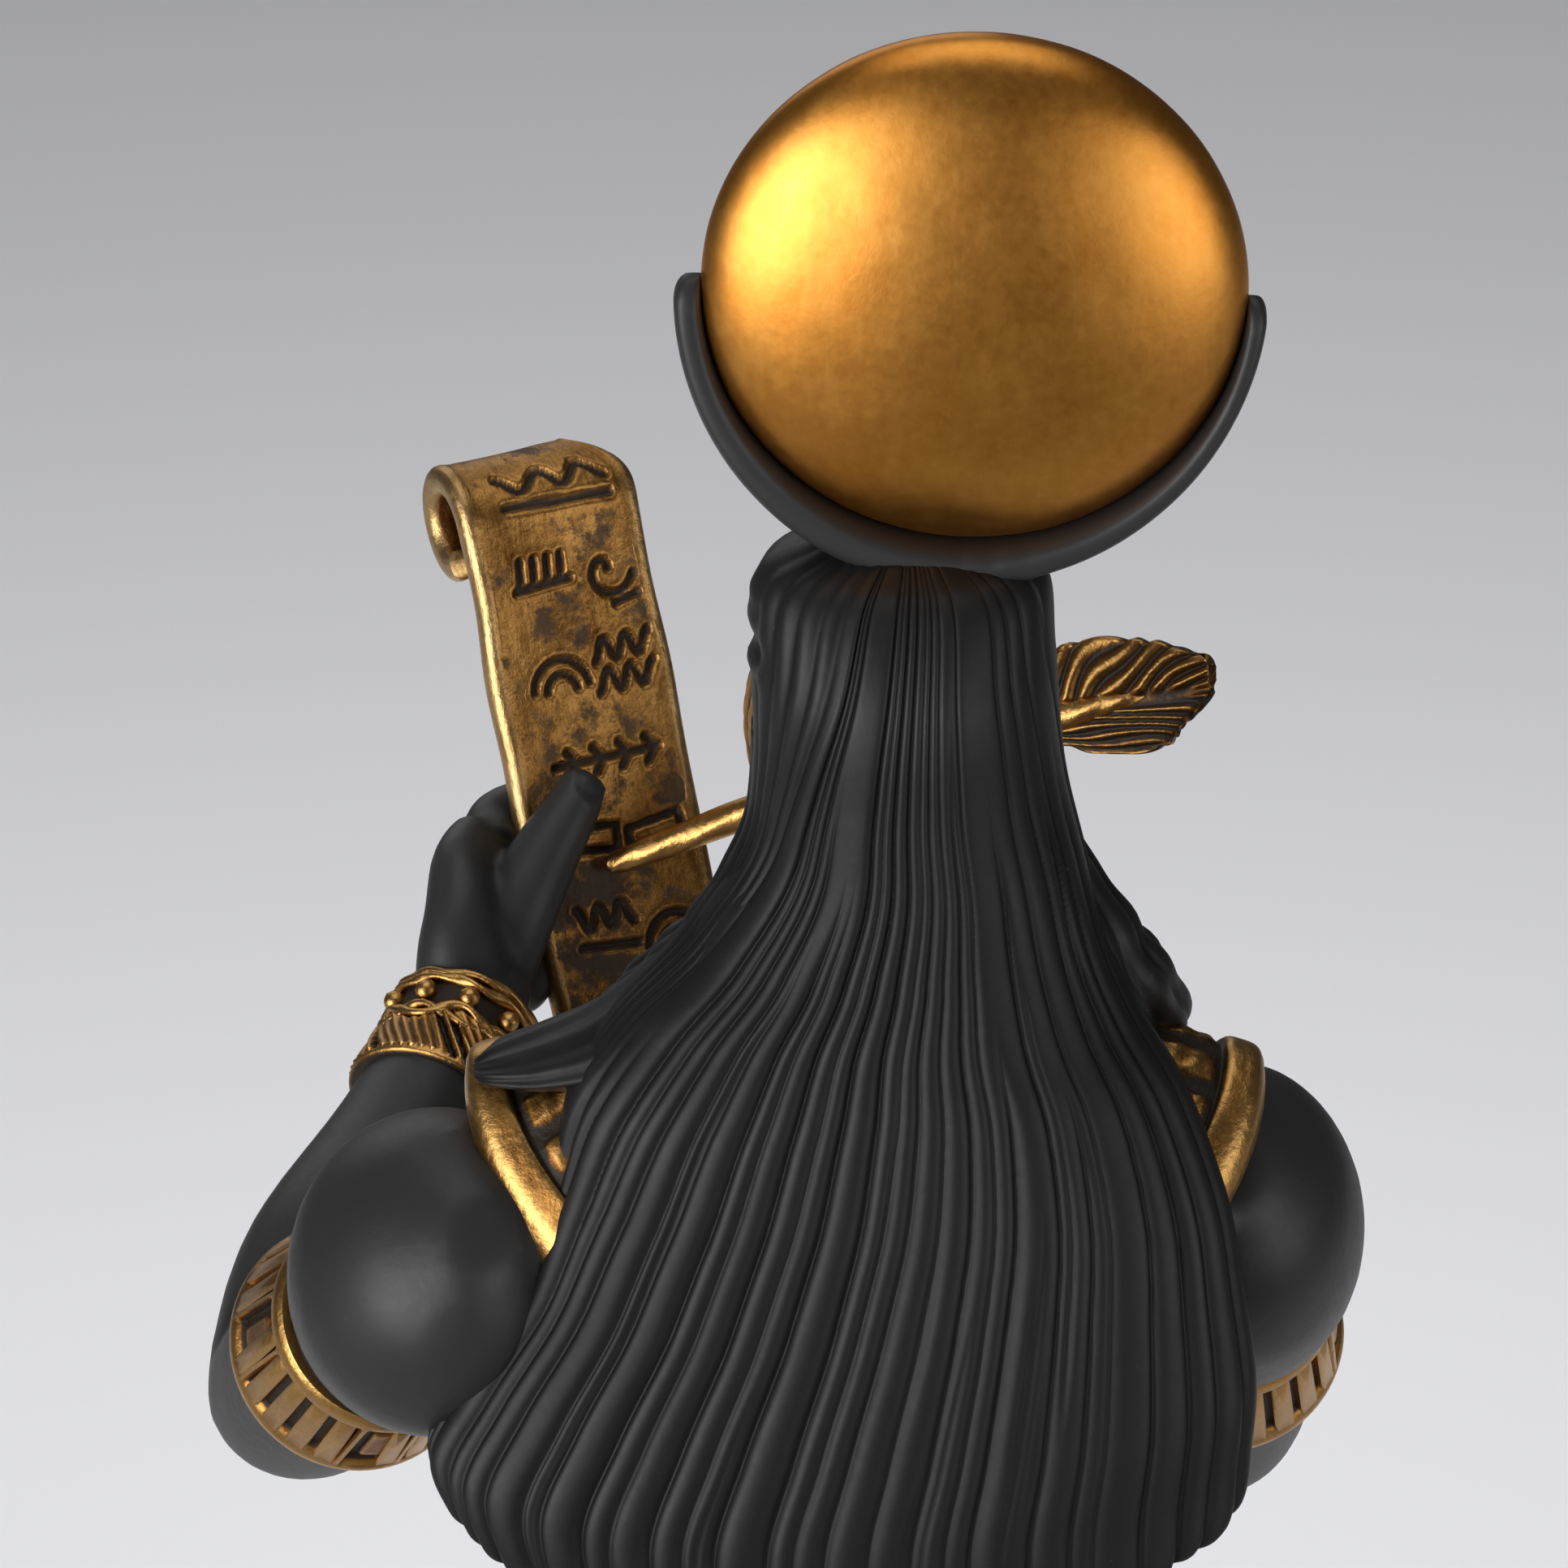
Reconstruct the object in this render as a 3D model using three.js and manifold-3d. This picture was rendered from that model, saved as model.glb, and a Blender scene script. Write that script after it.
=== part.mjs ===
// A resin statuette of Thoth, scribe of the gods: an ibis-headed man in a long fluted wig, who
// stands on a low base and writes on a rolled strip of papyrus with a feather pen. A horned
// crescent on his head carries the moon disc.
//
// Millimetres, +Z up. The origin is the centre of the base's underside, and he faces -Y, so his
// left hand is on the +X side. The pieces are the figure, cast in one, and four pieces fixed to
// it: the disc, the scroll, the pen and the base.

import * as THREE from "three";
import { mergeVertices } from "three/addons/utils/BufferGeometryUtils.js";
import Module from "manifold-3d";

const wasm = await Module();
wasm.setup();

// Driving dimensions

const fitGap = 0.3; // clearance between pieces that touch
const base = { width: 70, depth: 94, height: 12, chamfer: 1.6, plinthStep: 2.2 };
const spineY = 15; // the figure's spine stands this far behind the base's centre

const disc = { radius: 18.95, halfThickness: 6.7, centre: [-8.4, -3, 285.5], roll: 2.6, lean: 3 };
const crescent = {
  // outer radius about the disc's centre, from the tip by the scroll through the foot to the other
  outer: [20.7, 21, 21.5, 22, 21.9, 21.4, 20.8, 20.4, 20.3],
  depthAtTip: 2.4,
  depthAtFoot: 7,
};

const shoulder = { left: [30.5, 4, 212.4], right: [-26.3, -3, 213] };
const elbow = { left: [38.6, -25.6, 186.4], right: [-25, -31.2, 182.6] };
const wrist = { left: [26.8, -56.4, 199.9], right: [-11.5, -58, 205] };

const scroll = {
  centre: [16.9, -68, 207.5],
  width: 13.6,
  thickness: 2,
  up: 23.7, // straight run above the centre
  down: 34, // and below it
  topCurl: 3.8,
  footCurl: 3,
  across: [0.925, 0.379, -0.031], // from its edge by the quill to the edge in the hand
  along: [0.186, -0.379, 0.907],
};

const pen = {
  tip: [16.65, -65.4, 207.1],
  bow: [6.2, -64.1, 212.3],
  grip: [-4, -61.5, 217.2],
  root: [-14.5, -58.9, 222.2],
  end: [-24.2, -56.4, 227],
  tipRadius: 0.7,
  shaftRadius: 1.12,
  vaneLength: 16.6,
  vaneHalfWidth: 3.7,
  vaneThickness: 1.5,
};

// Small helpers

const vec = (p) => new THREE.Vector3(...p);
const lerp = THREE.MathUtils.lerp;
const radians = THREE.MathUtils.degToRad;

// A closed skin over rings of points: quads between the rings and a fan over each end ring.
function skin(rings) {
  const sides = rings[0].length;
  const ends = [rings[0], rings[rings.length - 1]];
  const centres = ends.map((ring) =>
    ring.reduce((sum, p) => sum.add(p), new THREE.Vector3()).divideScalar(sides),
  );
  const points = [...rings.flat(), ...centres];
  const index = [];
  for (let r = 0; r < rings.length - 1; r++) {
    for (let s = 0; s < sides; s++) {
      const a = r * sides + s;
      const b = r * sides + ((s + 1) % sides);
      index.push(a, b, b + sides, a, b + sides, a + sides);
    }
  }
  const lastRing = (rings.length - 1) * sides;
  for (let s = 0; s < sides; s++) {
    const next = (s + 1) % sides;
    index.push(next, s, points.length - 2);
    index.push(lastRing + s, lastRing + next, points.length - 1);
  }
  const geometry = new THREE.BufferGeometry().setFromPoints(points);
  geometry.setIndex(index);
  return geometry;
}

// A geometry as a solid, turned the right way out.
function solid(geometry) {
  const bare = geometry.clone();
  bare.deleteAttribute("normal");
  bare.deleteAttribute("uv");
  const merged = mergeVertices(bare, 1e-3);
  const triangles = Array.from(merged.index.array);
  const kept = [];
  for (let i = 0; i < triangles.length; i += 3) {
    const [a, b, c] = triangles.slice(i, i + 3);
    if (a !== b && b !== c && c !== a) kept.push(a, b, c);
  }
  const position = merged.getAttribute("position");
  let volume = 0;
  const [p, q, r] = [new THREE.Vector3(), new THREE.Vector3(), new THREE.Vector3()];
  for (let i = 0; i < kept.length; i += 3) {
    p.fromBufferAttribute(position, kept[i]);
    q.fromBufferAttribute(position, kept[i + 1]);
    r.fromBufferAttribute(position, kept[i + 2]);
    volume += p.dot(q.cross(r));
  }
  if (volume < 0) kept.reverse();
  return new wasm.Manifold(
    new wasm.Mesh({
      numProp: 3,
      vertProperties: new Float32Array(position.array),
      triVerts: new Uint32Array(kept),
    }),
  );
}

const join = (solids) => solids.reduce((sum, next) => sum.add(next));

function geometryOf(manifold) {
  const mesh = manifold.getMesh();
  const geometry = new THREE.BufferGeometry();
  geometry.setAttribute("position", new THREE.BufferAttribute(mesh.vertProperties, 3));
  geometry.setIndex(new THREE.BufferAttribute(mesh.triVerts, 1));
  geometry.computeVertexNormals();
  return geometry;
}

// Values of evenly or unevenly spaced stations, interpolated smoothly at t from 0 to 1.
function along(rows, t) {
  const place = t * (rows.length - 1);
  const i = Math.min(Math.floor(place), rows.length - 2);
  const f = place - i;
  const at = (k) => rows[THREE.MathUtils.clamp(k, 0, rows.length - 1)];
  return rows[i].map((_, column) => {
    const [a, b, c, d] = [at(i - 1), at(i), at(i + 1), at(i + 2)].map((row) => row[column]);
    const rise = (c - a) / 2;
    const fall = (d - b) / 2;
    return (
      (2 * f ** 3 - 3 * f ** 2 + 1) * b +
      (f ** 3 - 2 * f ** 2 + f) * rise +
      (3 * f ** 2 - 2 * f ** 3) * c +
      (f ** 3 - f ** 2) * fall
    );
  });
}

// A limb through stations [x, y, z, radius along `side`, radius across it].
function limb(stations, side, { sides, rings }) {
  const list = [];
  for (let k = 0; k <= rings; k++) {
    const t = k / rings;
    const [x, y, z, wide, deep] = along(stations, t);
    const before = vec(along(stations, Math.max(t - 0.02, 0)));
    const after = vec(along(stations, Math.min(t + 0.02, 1)));
    const tangent = after.sub(before).normalize();
    const across = vec(side).addScaledVector(tangent, -vec(side).dot(tangent)).normalize();
    const other = tangent.clone().cross(across);
    list.push(
      Array.from({ length: sides }, (_, s) => {
        const angle = (s / sides) * 2 * Math.PI;
        return new THREE.Vector3(x, y, z)
          .addScaledVector(across, wide * Math.cos(angle))
          .addScaledVector(other, deep * Math.sin(angle));
      }),
    );
  }
  return solid(skin(list));
}

// A stack of level sections [z, x, y, half width, half depth], rounder or squarer by `power`.
function stack(stations, { sides, rings, power, relief = () => 0 }) {
  const list = [];
  for (let k = 0; k <= rings; k++) {
    const [z, x, y, wide, deep] = along(stations, k / rings);
    list.push(
      Array.from({ length: sides }, (_, s) => {
        const angle = (s / sides) * 2 * Math.PI;
        const [c, n] = [Math.cos(angle), Math.sin(angle)];
        const raised = relief(angle, k / rings);
        return new THREE.Vector3(
          x + (wide + raised) * Math.sign(c) * Math.abs(c) ** (2 / power),
          y + (deep + raised) * Math.sign(n) * Math.abs(n) ** (2 / power),
          z,
        );
      }),
    );
  }
  return solid(skin(list));
}

// A raised band round a limb: a ring whose outer side has the given radii at even steps.
function band(from, to, innerRadius, profile, sides = 12) {
  const axis = vec(to).sub(vec(from));
  const length = axis.length();
  const points = [new THREE.Vector2(innerRadius, 0)];
  profile.forEach((r, i) => points.push(new THREE.Vector2(r, (i / (profile.length - 1)) * length)));
  points.push(new THREE.Vector2(innerRadius, length), new THREE.Vector2(innerRadius, 0));
  const geometry = new THREE.LatheGeometry(points, sides);
  const turn = new THREE.Quaternion().setFromUnitVectors(
    new THREE.Vector3(0, 1, 0),
    axis.normalize(),
  );
  geometry.applyQuaternion(turn).translate(...from);
  return solid(geometry);
}

const between = (a, b, f) => a.map((v, i) => lerp(v, b[i], f));

// The body

// Torso and neck: [z, x, y, half width, half depth].
const torsoStations = [
  [128, 0, 1, 15, 10],
  [138, 0, 1, 18.5, 12.5],
  [148, 0, 1.5, 18.5, 12.8],
  [158, 0, 0.8, 16, 11],
  [168, 0, 0, 15.6, 10.6],
  [178, 0, -0.3, 17.6, 11.8],
  [188, 0.2, -0.6, 20.8, 13.2],
  [198, 0.4, -0.6, 24, 14],
  [208, 0.6, 0, 25.5, 13],
  [218, 0.6, 1, 23.5, 10.2],
  [225, 0, 1.6, 15.5, 7.8],
  [231, -0.8, 1.4, 8.6, 6.8],
  [238, -1.6, 0.6, 6.6, 6.4],
  [250, -3, -1.5, 6.4, 6.4],
];

function arm(side) {
  const [s, e, w] = [shoulder[side], elbow[side], wrist[side]];
  const yoke = limb(
    [
      [s[0] * 0.1, 2, 227, 5, 5],
      [s[0] * 0.45, 4.6, 220.5, 6, 5.4],
      [s[0] * 0.85, 4, s[2] + 0.6, 7, 7],
    ],
    [0, 1, 0],
    { sides: 8, rings: 4 },
  );
  const upper = limb(
    [
      [...between(s, e, -0.27), 2.4, 3.4],
      [...between(s, e, -0.16), 7, 8.6],
      [...s, 8.8, 10.6],
      [...between(s, e, 0.3), 9.3, 9.8],
      [...between(s, e, 0.62), 8.7, 9],
      [...between(s, e, 1), 6.6, 6.9],
      [...between(s, e, 1.1), 4.2, 4.6],
    ],
    [1, 0, 0],
    { sides: 11, rings: 8 },
  );
  const fore = limb(
    [
      [...between(e, w, -0.12), 4.2, 4.6],
      [...e, 6.3, 6.6],
      [...between(e, w, 0.3), 7.2, 7],
      [...between(e, w, 0.65), 6.2, 5.7],
      [...w, 4.4, 4],
      [...between(e, w, 1.12), 4.4, 3.6],
    ],
    [0, 0, 1],
    { sides: 11, rings: 8 },
  );
  const armlet = band(between(s, e, 0.4), between(s, e, 0.62), 6, [10, 9.5, 10]);
  const bracelet = band(between(e, w, 0.74), between(e, w, 0.98), 3, [6, 5.2, 5.4]);
  return [yoke, upper, fore, armlet, bracelet];
}

// A finger of even thickness through points, with a rounded end.
function finger(points, radius) {
  const stations = points.map((p, i) => [...p, radius * (1 - 0.06 * i), radius * (1 - 0.06 * i)]);
  const [before, last] = points.slice(-2);
  const tip = between(before, last, 1.22);
  stations.push([...tip, radius * 0.45, radius * 0.45]);
  return limb(stations, [0.3, 0.2, 1], { sides: 6, rings: stations.length + 1 });
}

// A place on or near the scroll: across it toward the hand, up along it, and out from its middle
// toward the face.
function byScroll(across, up, out) {
  const [a, u] = [vec(scroll.across), vec(scroll.along)];
  const place = vec(scroll.centre).addScaledVector(a, across).addScaledVector(u, up);
  return place.addScaledVector(u.clone().cross(a), out).toArray();
}

function leftHand() {
  const palm = limb(
    [
      [...wrist.left, 4.2, 3.6],
      [...byScroll(12, -5.2, 1.8), 5.4, 3.4],
      [...byScroll(10.4, -2.6, -0.4), 6, 3.1],
      [...byScroll(8.4, -1.6, -2.6), 5.8, 2.8],
    ],
    scroll.along,
    { sides: 12, rings: 6 },
  );
  const fingers = [0, 1, 2, 3].map((i) => {
    const up = 3.4 - 3.4 * i;
    const knuckle = [8.8, 9.8, 10.4, 10.4][i];
    const reach = [0.6, -0.8, -0.4, 1.4][i];
    return finger(
      [
        byScroll(knuckle, up - 1.4, -0.8),
        byScroll(knuckle - 1.2, up - 0.2, -3.4),
        byScroll(4, up, -3.4),
        byScroll(-1 + reach, up - 0.4, -3.1),
      ],
      2.1 - 0.05 * i,
    );
  });
  const thumb = finger(
    [
      byScroll(11.4, -7, 2.6),
      byScroll(8.8, -2.8, 3.4),
      byScroll(5.2, 0.8, 3),
      byScroll(2.2, 3, 2.6),
    ],
    2.25,
  );
  return [palm, ...fingers, thumb];
}

function rightHand() {
  const palm = limb(
    [
      [...wrist.right, 4.2, 3.6],
      [-10.2, -59.4, 208, 5.4, 3.5],
      [-8.6, -61.6, 211.6, 6.2, 3.6],
      [-7.4, -64, 213, 5.8, 3.6],
    ],
    [1, -0.6, 0],
    { sides: 12, rings: 7 },
  );
  const index = finger(
    [
      [-11, -62.6, 213.4],
      [-8.4, -65.6, 217.6],
      [-4, -65.4, 218.2],
      [0.2, -64.8, 216.4],
    ],
    2,
  );
  const thumb = finger(
    [
      [-8, -57.4, 207.6],
      [-4.6, -57.2, 211],
      [-2, -58.8, 214],
      [-0.4, -60.4, 215],
    ],
    2.3,
  );
  const curled = [0, 1, 2].map((i) =>
    finger(
      [
        [-8 + 1.6 * i, -63.8, 213.6 - 1.8 * i],
        [-4.6 + 1.2 * i, -66.6, 213.6 - 2.2 * i],
        [-2 + i, -64.6, 211.6 - 2.4 * i],
        [-4 + i, -61.6, 210.4 - 2.2 * i],
      ],
      1.95,
    ),
  );
  return [palm, index, thumb, ...curled];
}

function leg(side) {
  const sign = side === "left" ? 1 : -1;
  const stride = side === "left" ? -14 : 7; // the left foot is a pace in front
  const kneeY = side === "left" ? -12 : 2;
  const shank = limb(
    [
      [10 * sign, 0, 142, 11.5, 12],
      [10.4 * sign, lerp(0, kneeY, 0.4), 122, 11.4, 12],
      [10.8 * sign, lerp(0, kneeY, 0.8), 102, 9.4, 10],
      [11 * sign, kneeY, 85, 7.4, 8],
      [11.2 * sign, lerp(kneeY, stride, 0.3) + 1.5, 68, 7.6, 8.2],
      [11.2 * sign, lerp(kneeY, stride, 0.65) + 1, 47, 6, 6.4],
      [11.2 * sign, stride, 28, 4.6, 5],
      [11.4 * sign, stride + 0.4, base.height + 8, 4.8, 5.8],
    ],
    [1, 0, 0],
    { sides: 10, rings: 10 },
  );
  const soleZ = base.height + fitGap;
  const turnOut = 2.4 * sign;
  const footStations = [
    // heel to toe: [x, y, half width, height]
    [11.2 * sign - turnOut * 0.3, stride + 8, 3.4, 5.5],
    [11.2 * sign - turnOut * 0.2, stride + 5.5, 4.8, 9],
    [11.2 * sign, stride - 1, 5.2, 12],
    [11.2 * sign + turnOut * 0.3, stride - 11, 5.8, 8.4],
    [11.2 * sign + turnOut * 0.7, stride - 20, 6.6, 5.6],
    [11.2 * sign + turnOut, stride - 26, 6.2, 4],
    [11.2 * sign + turnOut * 1.1, stride - 29.5, 4.4, 2.6],
  ];
  const rings = [];
  for (let k = 0; k <= 8; k++) {
    const [x, y, wide, high] = along(footStations, k / 8);
    rings.push(
      Array.from({ length: 10 }, (_, s) => {
        const angle = (s / 10) * 2 * Math.PI;
        const rise = Math.max(Math.sin(angle), -0.25) + 0.25;
        return new THREE.Vector3(x + wide * Math.cos(angle), y, soleZ + (high * rise) / 1.25);
      }),
    );
  }
  return [shank, solid(skin(rings))];
}

// Kilt, belt and the apron that hangs from it. The pleats are flutes that run down the cloth.
const kilt = { pleats: 20, pleatDepth: 0.7, rows: 4 };
const kiltStations = [
  [163, 0, 0, 16.4, 11.6],
  [152, 0, 0.6, 19.8, 14.2],
  [138, 0, 0, 21.4, 15.6],
  [122, 0, -1.6, 22.4, 17],
  [106, 0, -3.4, 23.6, 18.6],
  [94, 0, -4.4, 24.6, 19.8],
];

function dress() {
  const pleat = (angle, t) => {
    const ridge = Math.round((angle / (2 * Math.PI)) * kilt.pleats * 2) % 2;
    return (ridge - 0.5) * 2 * kilt.pleatDepth * Math.min(1, 3 * t);
  };
  const cloth = stack(kiltStations, {
    sides: kilt.pleats * 2,
    rings: kilt.rows,
    power: 2.3,
    relief: pleat,
  });
  const belt = stack(
    [
      [157.5, 0, 0.3, 18.6, 13.2],
      [160, 0, 0.2, 18.4, 13],
      [162.5, 0, 0, 17.9, 12.7],
      [165, 0, 0, 17.4, 12.3],
    ],
    { sides: 24, rings: 2, power: 2.3 },
  );
  const apron = stack(
    [
      [160, 0, -12.6, 4.6, 2],
      [140, 0, -16, 6, 2],
      [118, 0, -19.6, 7.4, 2],
      [98, 0, -23.4, 8.6, 2.2],
    ],
    { sides: 8, rings: 3, power: 5 },
  );
  return [cloth, belt, apron];
}

// Broad collar: rings about the neck, from its inner edge out over the shoulders and back under.
const collar = {
  x: -0.9,
  inner: 7.2,
  reach: 27.2,
  frontReach: 16.8,
  backReach: 16,
  fall: { side: 5.5, front: 26, back: 23 },
};

function broadCollar() {
  const steps = [
    // share of the way out, height above the body's own fall
    [0.02, 1],
    [0.46, 1.2],
    [0.9, 1.1],
    [0.93, 1.9],
    [1, 1.6],
    [1.01, -1.5],
    [0.4, -9],
  ];
  const rings = steps.map(([share, lift]) =>
    Array.from({ length: 24 }, (_, s) => {
      const angle = (s / 24) * 2 * Math.PI;
      const [c, n] = [Math.cos(angle), Math.sin(angle)];
      const square = Math.sign(n) * Math.abs(n) ** 0.8;
      const toFront = n < 0;
      const reachY = toFront ? collar.frontReach : collar.backReach;
      const x = collar.x + lerp(collar.inner, collar.reach, share) * c;
      const y = 0.6 + lerp(collar.inner - 0.9, reachY, share ** 0.7) * square;
      const { side, front, back } = collar.fall;
      const fall = lerp(side, toFront ? front : back, Math.abs(n) ** 1.4) * share ** 1.25;
      return new THREE.Vector3(x, y, 231.4 - fall + lift);
    }),
  );
  return solid(skin(rings));
}

// The wig: a fluted cap and cape that fans out from the crown over the back.
// Stations are [side height, drop of the hem's middle, x, y of the sides, half width, rear y, front y].
const wig = { strands: 18, depth: 0.65 };
const wigStations = [
  [265.6, 0, -3.6, -2.4, 6.4, 1.8, -6.6],
  [263.8, 0, -3.4, -2.4, 9.4, 5, -10.4],
  [258, 0, -3.5, -2.2, 9.9, 8.3, -12.4],
  [250, 0, -3.7, -1.4, 10.3, 9.5, -11.6],
  [244, 0, -4.1, -0.4, 11.2, 10.4, -9],
  [238, 0, -3, 1.6, 14, 11.4, -5],
  [233, 0.2, -1.8, 3.6, 17.6, 12.6, -1],
  [228, 0.6, -1.9, 6, 20.8, 14.2, 1],
  [221, 1, -2.6, 8.4, 22.9, 16.2, 3],
  [214.6, 1.6, -2.2, 10, 24.5, 17.8, 4],
  [208, 3, -0.6, 11, 27, 19.2, 5],
  [203, 5, 0.9, 11.4, 28.2, 20, 6],
  [199.6, 8.6, 0.6, 12, 27.4, 20.2, 7],
  [198.4, 8.8, 0.6, 12.4, 26, 18.6, 8],
];

function wigSolid() {
  const frontPoints = 5;
  const backPoints = wig.strands * 2;
  const rings = wigStations.map(([z, drop, x, y, wide, rear, front], k) => {
    const ring = [];
    const deep = wig.depth * Math.min(1, 0.35 + k * 0.12);
    for (let i = 0; i <= backPoints; i++) {
      const u = (i / backPoints) * 2 - 1;
      const turn = (u * Math.PI) / 2;
      const out = i % 2 ? deep : -deep;
      const dip = drop * Math.cos(turn) ** 1.4 + (i % 2 && k > 11 ? 0.8 : 0);
      ring.push(
        new THREE.Vector3(
          x + (wide + out) * Math.sin(turn),
          y + (rear - y + out) * Math.cos(turn) ** 0.9,
          z - dip,
        ),
      );
    }
    for (let i = 1; i < frontPoints; i++) {
      const turn = Math.PI / 2 + (i / frontPoints) * Math.PI;
      ring.push(
        new THREE.Vector3(x + wide * Math.sin(turn), y + (y - front) * Math.cos(turn), z),
      );
    }
    return ring;
  });
  return solid(skin(rings));
}

// The two front locks of the wig, which fall over the collar on to the chest.
// Each station is [distance out from x = -3, y, z, half width, half depth].
const lockStations = {
  left: [
    [5.5, -3, 251, 4.4, 5],
    [6.8, -2.4, 243, 4.4, 5.2],
    [11, -0.6, 235, 5.8, 5],
    [14, -3.6, 229, 7, 4.4],
    [16, -9.6, 222, 7, 4],
    [15.6, -14, 212, 6.2, 3.4],
    [14.8, -15.4, 202, 5, 2.8],
  ],
  right: [
    [6.6, -3, 251, 4.4, 5],
    [7.8, -2.4, 243, 4.4, 5.2],
    [9.6, -0.6, 235, 5.4, 5],
    [10.2, -3.6, 229, 6.4, 4.4],
    [11, -9.6, 222, 7, 4],
    [11.4, -14, 212, 6.2, 3.4],
    [11, -15.4, 202, 5, 2.8],
  ],
};

function frontLock(side) {
  const sign = side === "left" ? 1 : -1;
  const stations = lockStations[side].map(([out, ...rest]) => [out * sign - 3, ...rest]);
  return limb(stations, [1, 0, 0], { sides: 9, rings: 7 });
}

// Ibis head: `forward` millimetres out from the middle of the skull, turned to the scroll.
const head = { centre: [-3.6, -3], turn: 20 };

function inFrontOfHead(forward, z) {
  const turn = radians(head.turn);
  return [head.centre[0] + forward * Math.sin(turn), head.centre[1] - forward * Math.cos(turn), z];
}

function ibisHead() {
  const face = limb(
    [
      [...inFrontOfHead(-2, 251), 8, 8.6],
      [...inFrontOfHead(5, 251), 8, 8.4],
      [...inFrontOfHead(10.5, 250.4), 6.6, 6.8],
      [...inFrontOfHead(14.4, 249.6), 4.6, 4.8],
      [...inFrontOfHead(17, 249), 3.2, 3.4],
    ],
    [1, 0, 0],
    { sides: 11, rings: 6 },
  );
  const bill = limb(
    [
      [...inFrontOfHead(14, 249.8), 3.3, 3.8],
      [...inFrontOfHead(19.4, 248.2), 2.6, 3],
      [...inFrontOfHead(24, 244.2), 2.1, 2.4],
      [...inFrontOfHead(26.6, 238.4), 1.8, 2],
      [...inFrontOfHead(26.6, 232), 1.4, 1.6],
      [...inFrontOfHead(25, 226.6), 0.7, 0.8],
    ],
    [1, 0.4, 0],
    { sides: 8, rings: 10 },
  );
  return [face, bill];
}

// Horned crescent, cupped round the lower half of the disc. It is built about the disc's centre.
function hornedCrescent() {
  const inner = disc.radius + fitGap;
  const rings = [];
  const steps = 16;
  for (let k = 0; k <= steps; k++) {
    const angle = Math.PI + (k / steps) * Math.PI; // from tip to tip through the foot
    const [c, n] = [Math.cos(angle), Math.sin(angle)];
    const [outer] = along(crescent.outer.map((r) => [r]), 1 - k / steps);
    const share = Math.abs(n);
    const halfDepth = lerp(crescent.depthAtTip, crescent.depthAtFoot, share ** 0.8) / 2;
    const mid = (inner + outer) / 2;
    const half = (outer - inner) / 2;
    rings.push(
      Array.from({ length: 7 }, (_, s) => {
        const turn = (s / 7) * 2 * Math.PI;
        const radius = mid + half * Math.cos(turn);
        return new THREE.Vector3(radius * c, halfDepth * Math.sin(turn), radius * n);
      }),
    );
  }
  const geometry = skin(rings);
  placeWithDisc(geometry);
  return solid(geometry);
}

function placeWithDisc(geometry) {
  geometry.rotateX(radians(disc.lean));
  geometry.rotateY(radians(-disc.roll));
  geometry.translate(...disc.centre);
}

function material(color, roughness, metalness) {
  return new THREE.MeshStandardMaterial({ color, roughness, metalness });
}

const blackResin = material(0x1f1f21, 0.55, 0);
const smoothGold = material(0xc8913a, 0.35, 0.9);
const agedGold = material(0x9c6f2c, 0.45, 0.8);

function mesh(name, geometry, finish) {
  const made = new THREE.Mesh(geometry, finish);
  made.name = name;
  return made;
}

// The scroll: a thick strip that runs up, curls away over the top and curls away at its foot.
function scrollGeometry(extra = 0) {
  const half = scroll.thickness / 2 + extra;
  const path = []; // [y, z, angle of the outward normal]
  const curl = (centreY, centreZ, radius, from, turns, sign) => {
    const steps = 12;
    for (let k = 0; k <= steps; k++) {
      const angle = from + sign * (k / steps) * turns * 2 * Math.PI;
      const r = radius - (k / steps) * (radius * 0.3);
      path.push([centreY + r * Math.cos(angle), centreZ + r * Math.sin(angle), angle]);
    }
  };
  curl(-scroll.topCurl, scroll.up, scroll.topCurl, 0, 0.8, 1);
  path.reverse();
  const straight = 4;
  for (let k = 1; k < straight; k++) {
    path.push([0, lerp(scroll.up, -scroll.down, k / straight), 0]);
  }
  curl(-scroll.footCurl, -scroll.down, scroll.footCurl, 0, 0.7, -1);
  const front = path.map(([y, z, a]) => [y + half * Math.cos(a), z + half * Math.sin(a)]);
  const rear = path.map(([y, z, a]) => [y - half * Math.cos(a), z - half * Math.sin(a)]);
  const outline = [...front, ...rear.reverse()].map((p) => new THREE.Vector2(...p));
  const width = scroll.width + 2 * extra;
  const geometry = new THREE.ExtrudeGeometry(new THREE.Shape(outline), {
    depth: width,
    bevelEnabled: false,
  });
  geometry.translate(0, 0, -width / 2);
  const across = vec(scroll.across).normalize();
  const along = vec(scroll.along).normalize();
  const facing = along.clone().cross(across);
  geometry.applyMatrix4(new THREE.Matrix4().makeBasis(facing, along, across));
  geometry.translate(...scroll.centre);
  return geometry;
}

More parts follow.
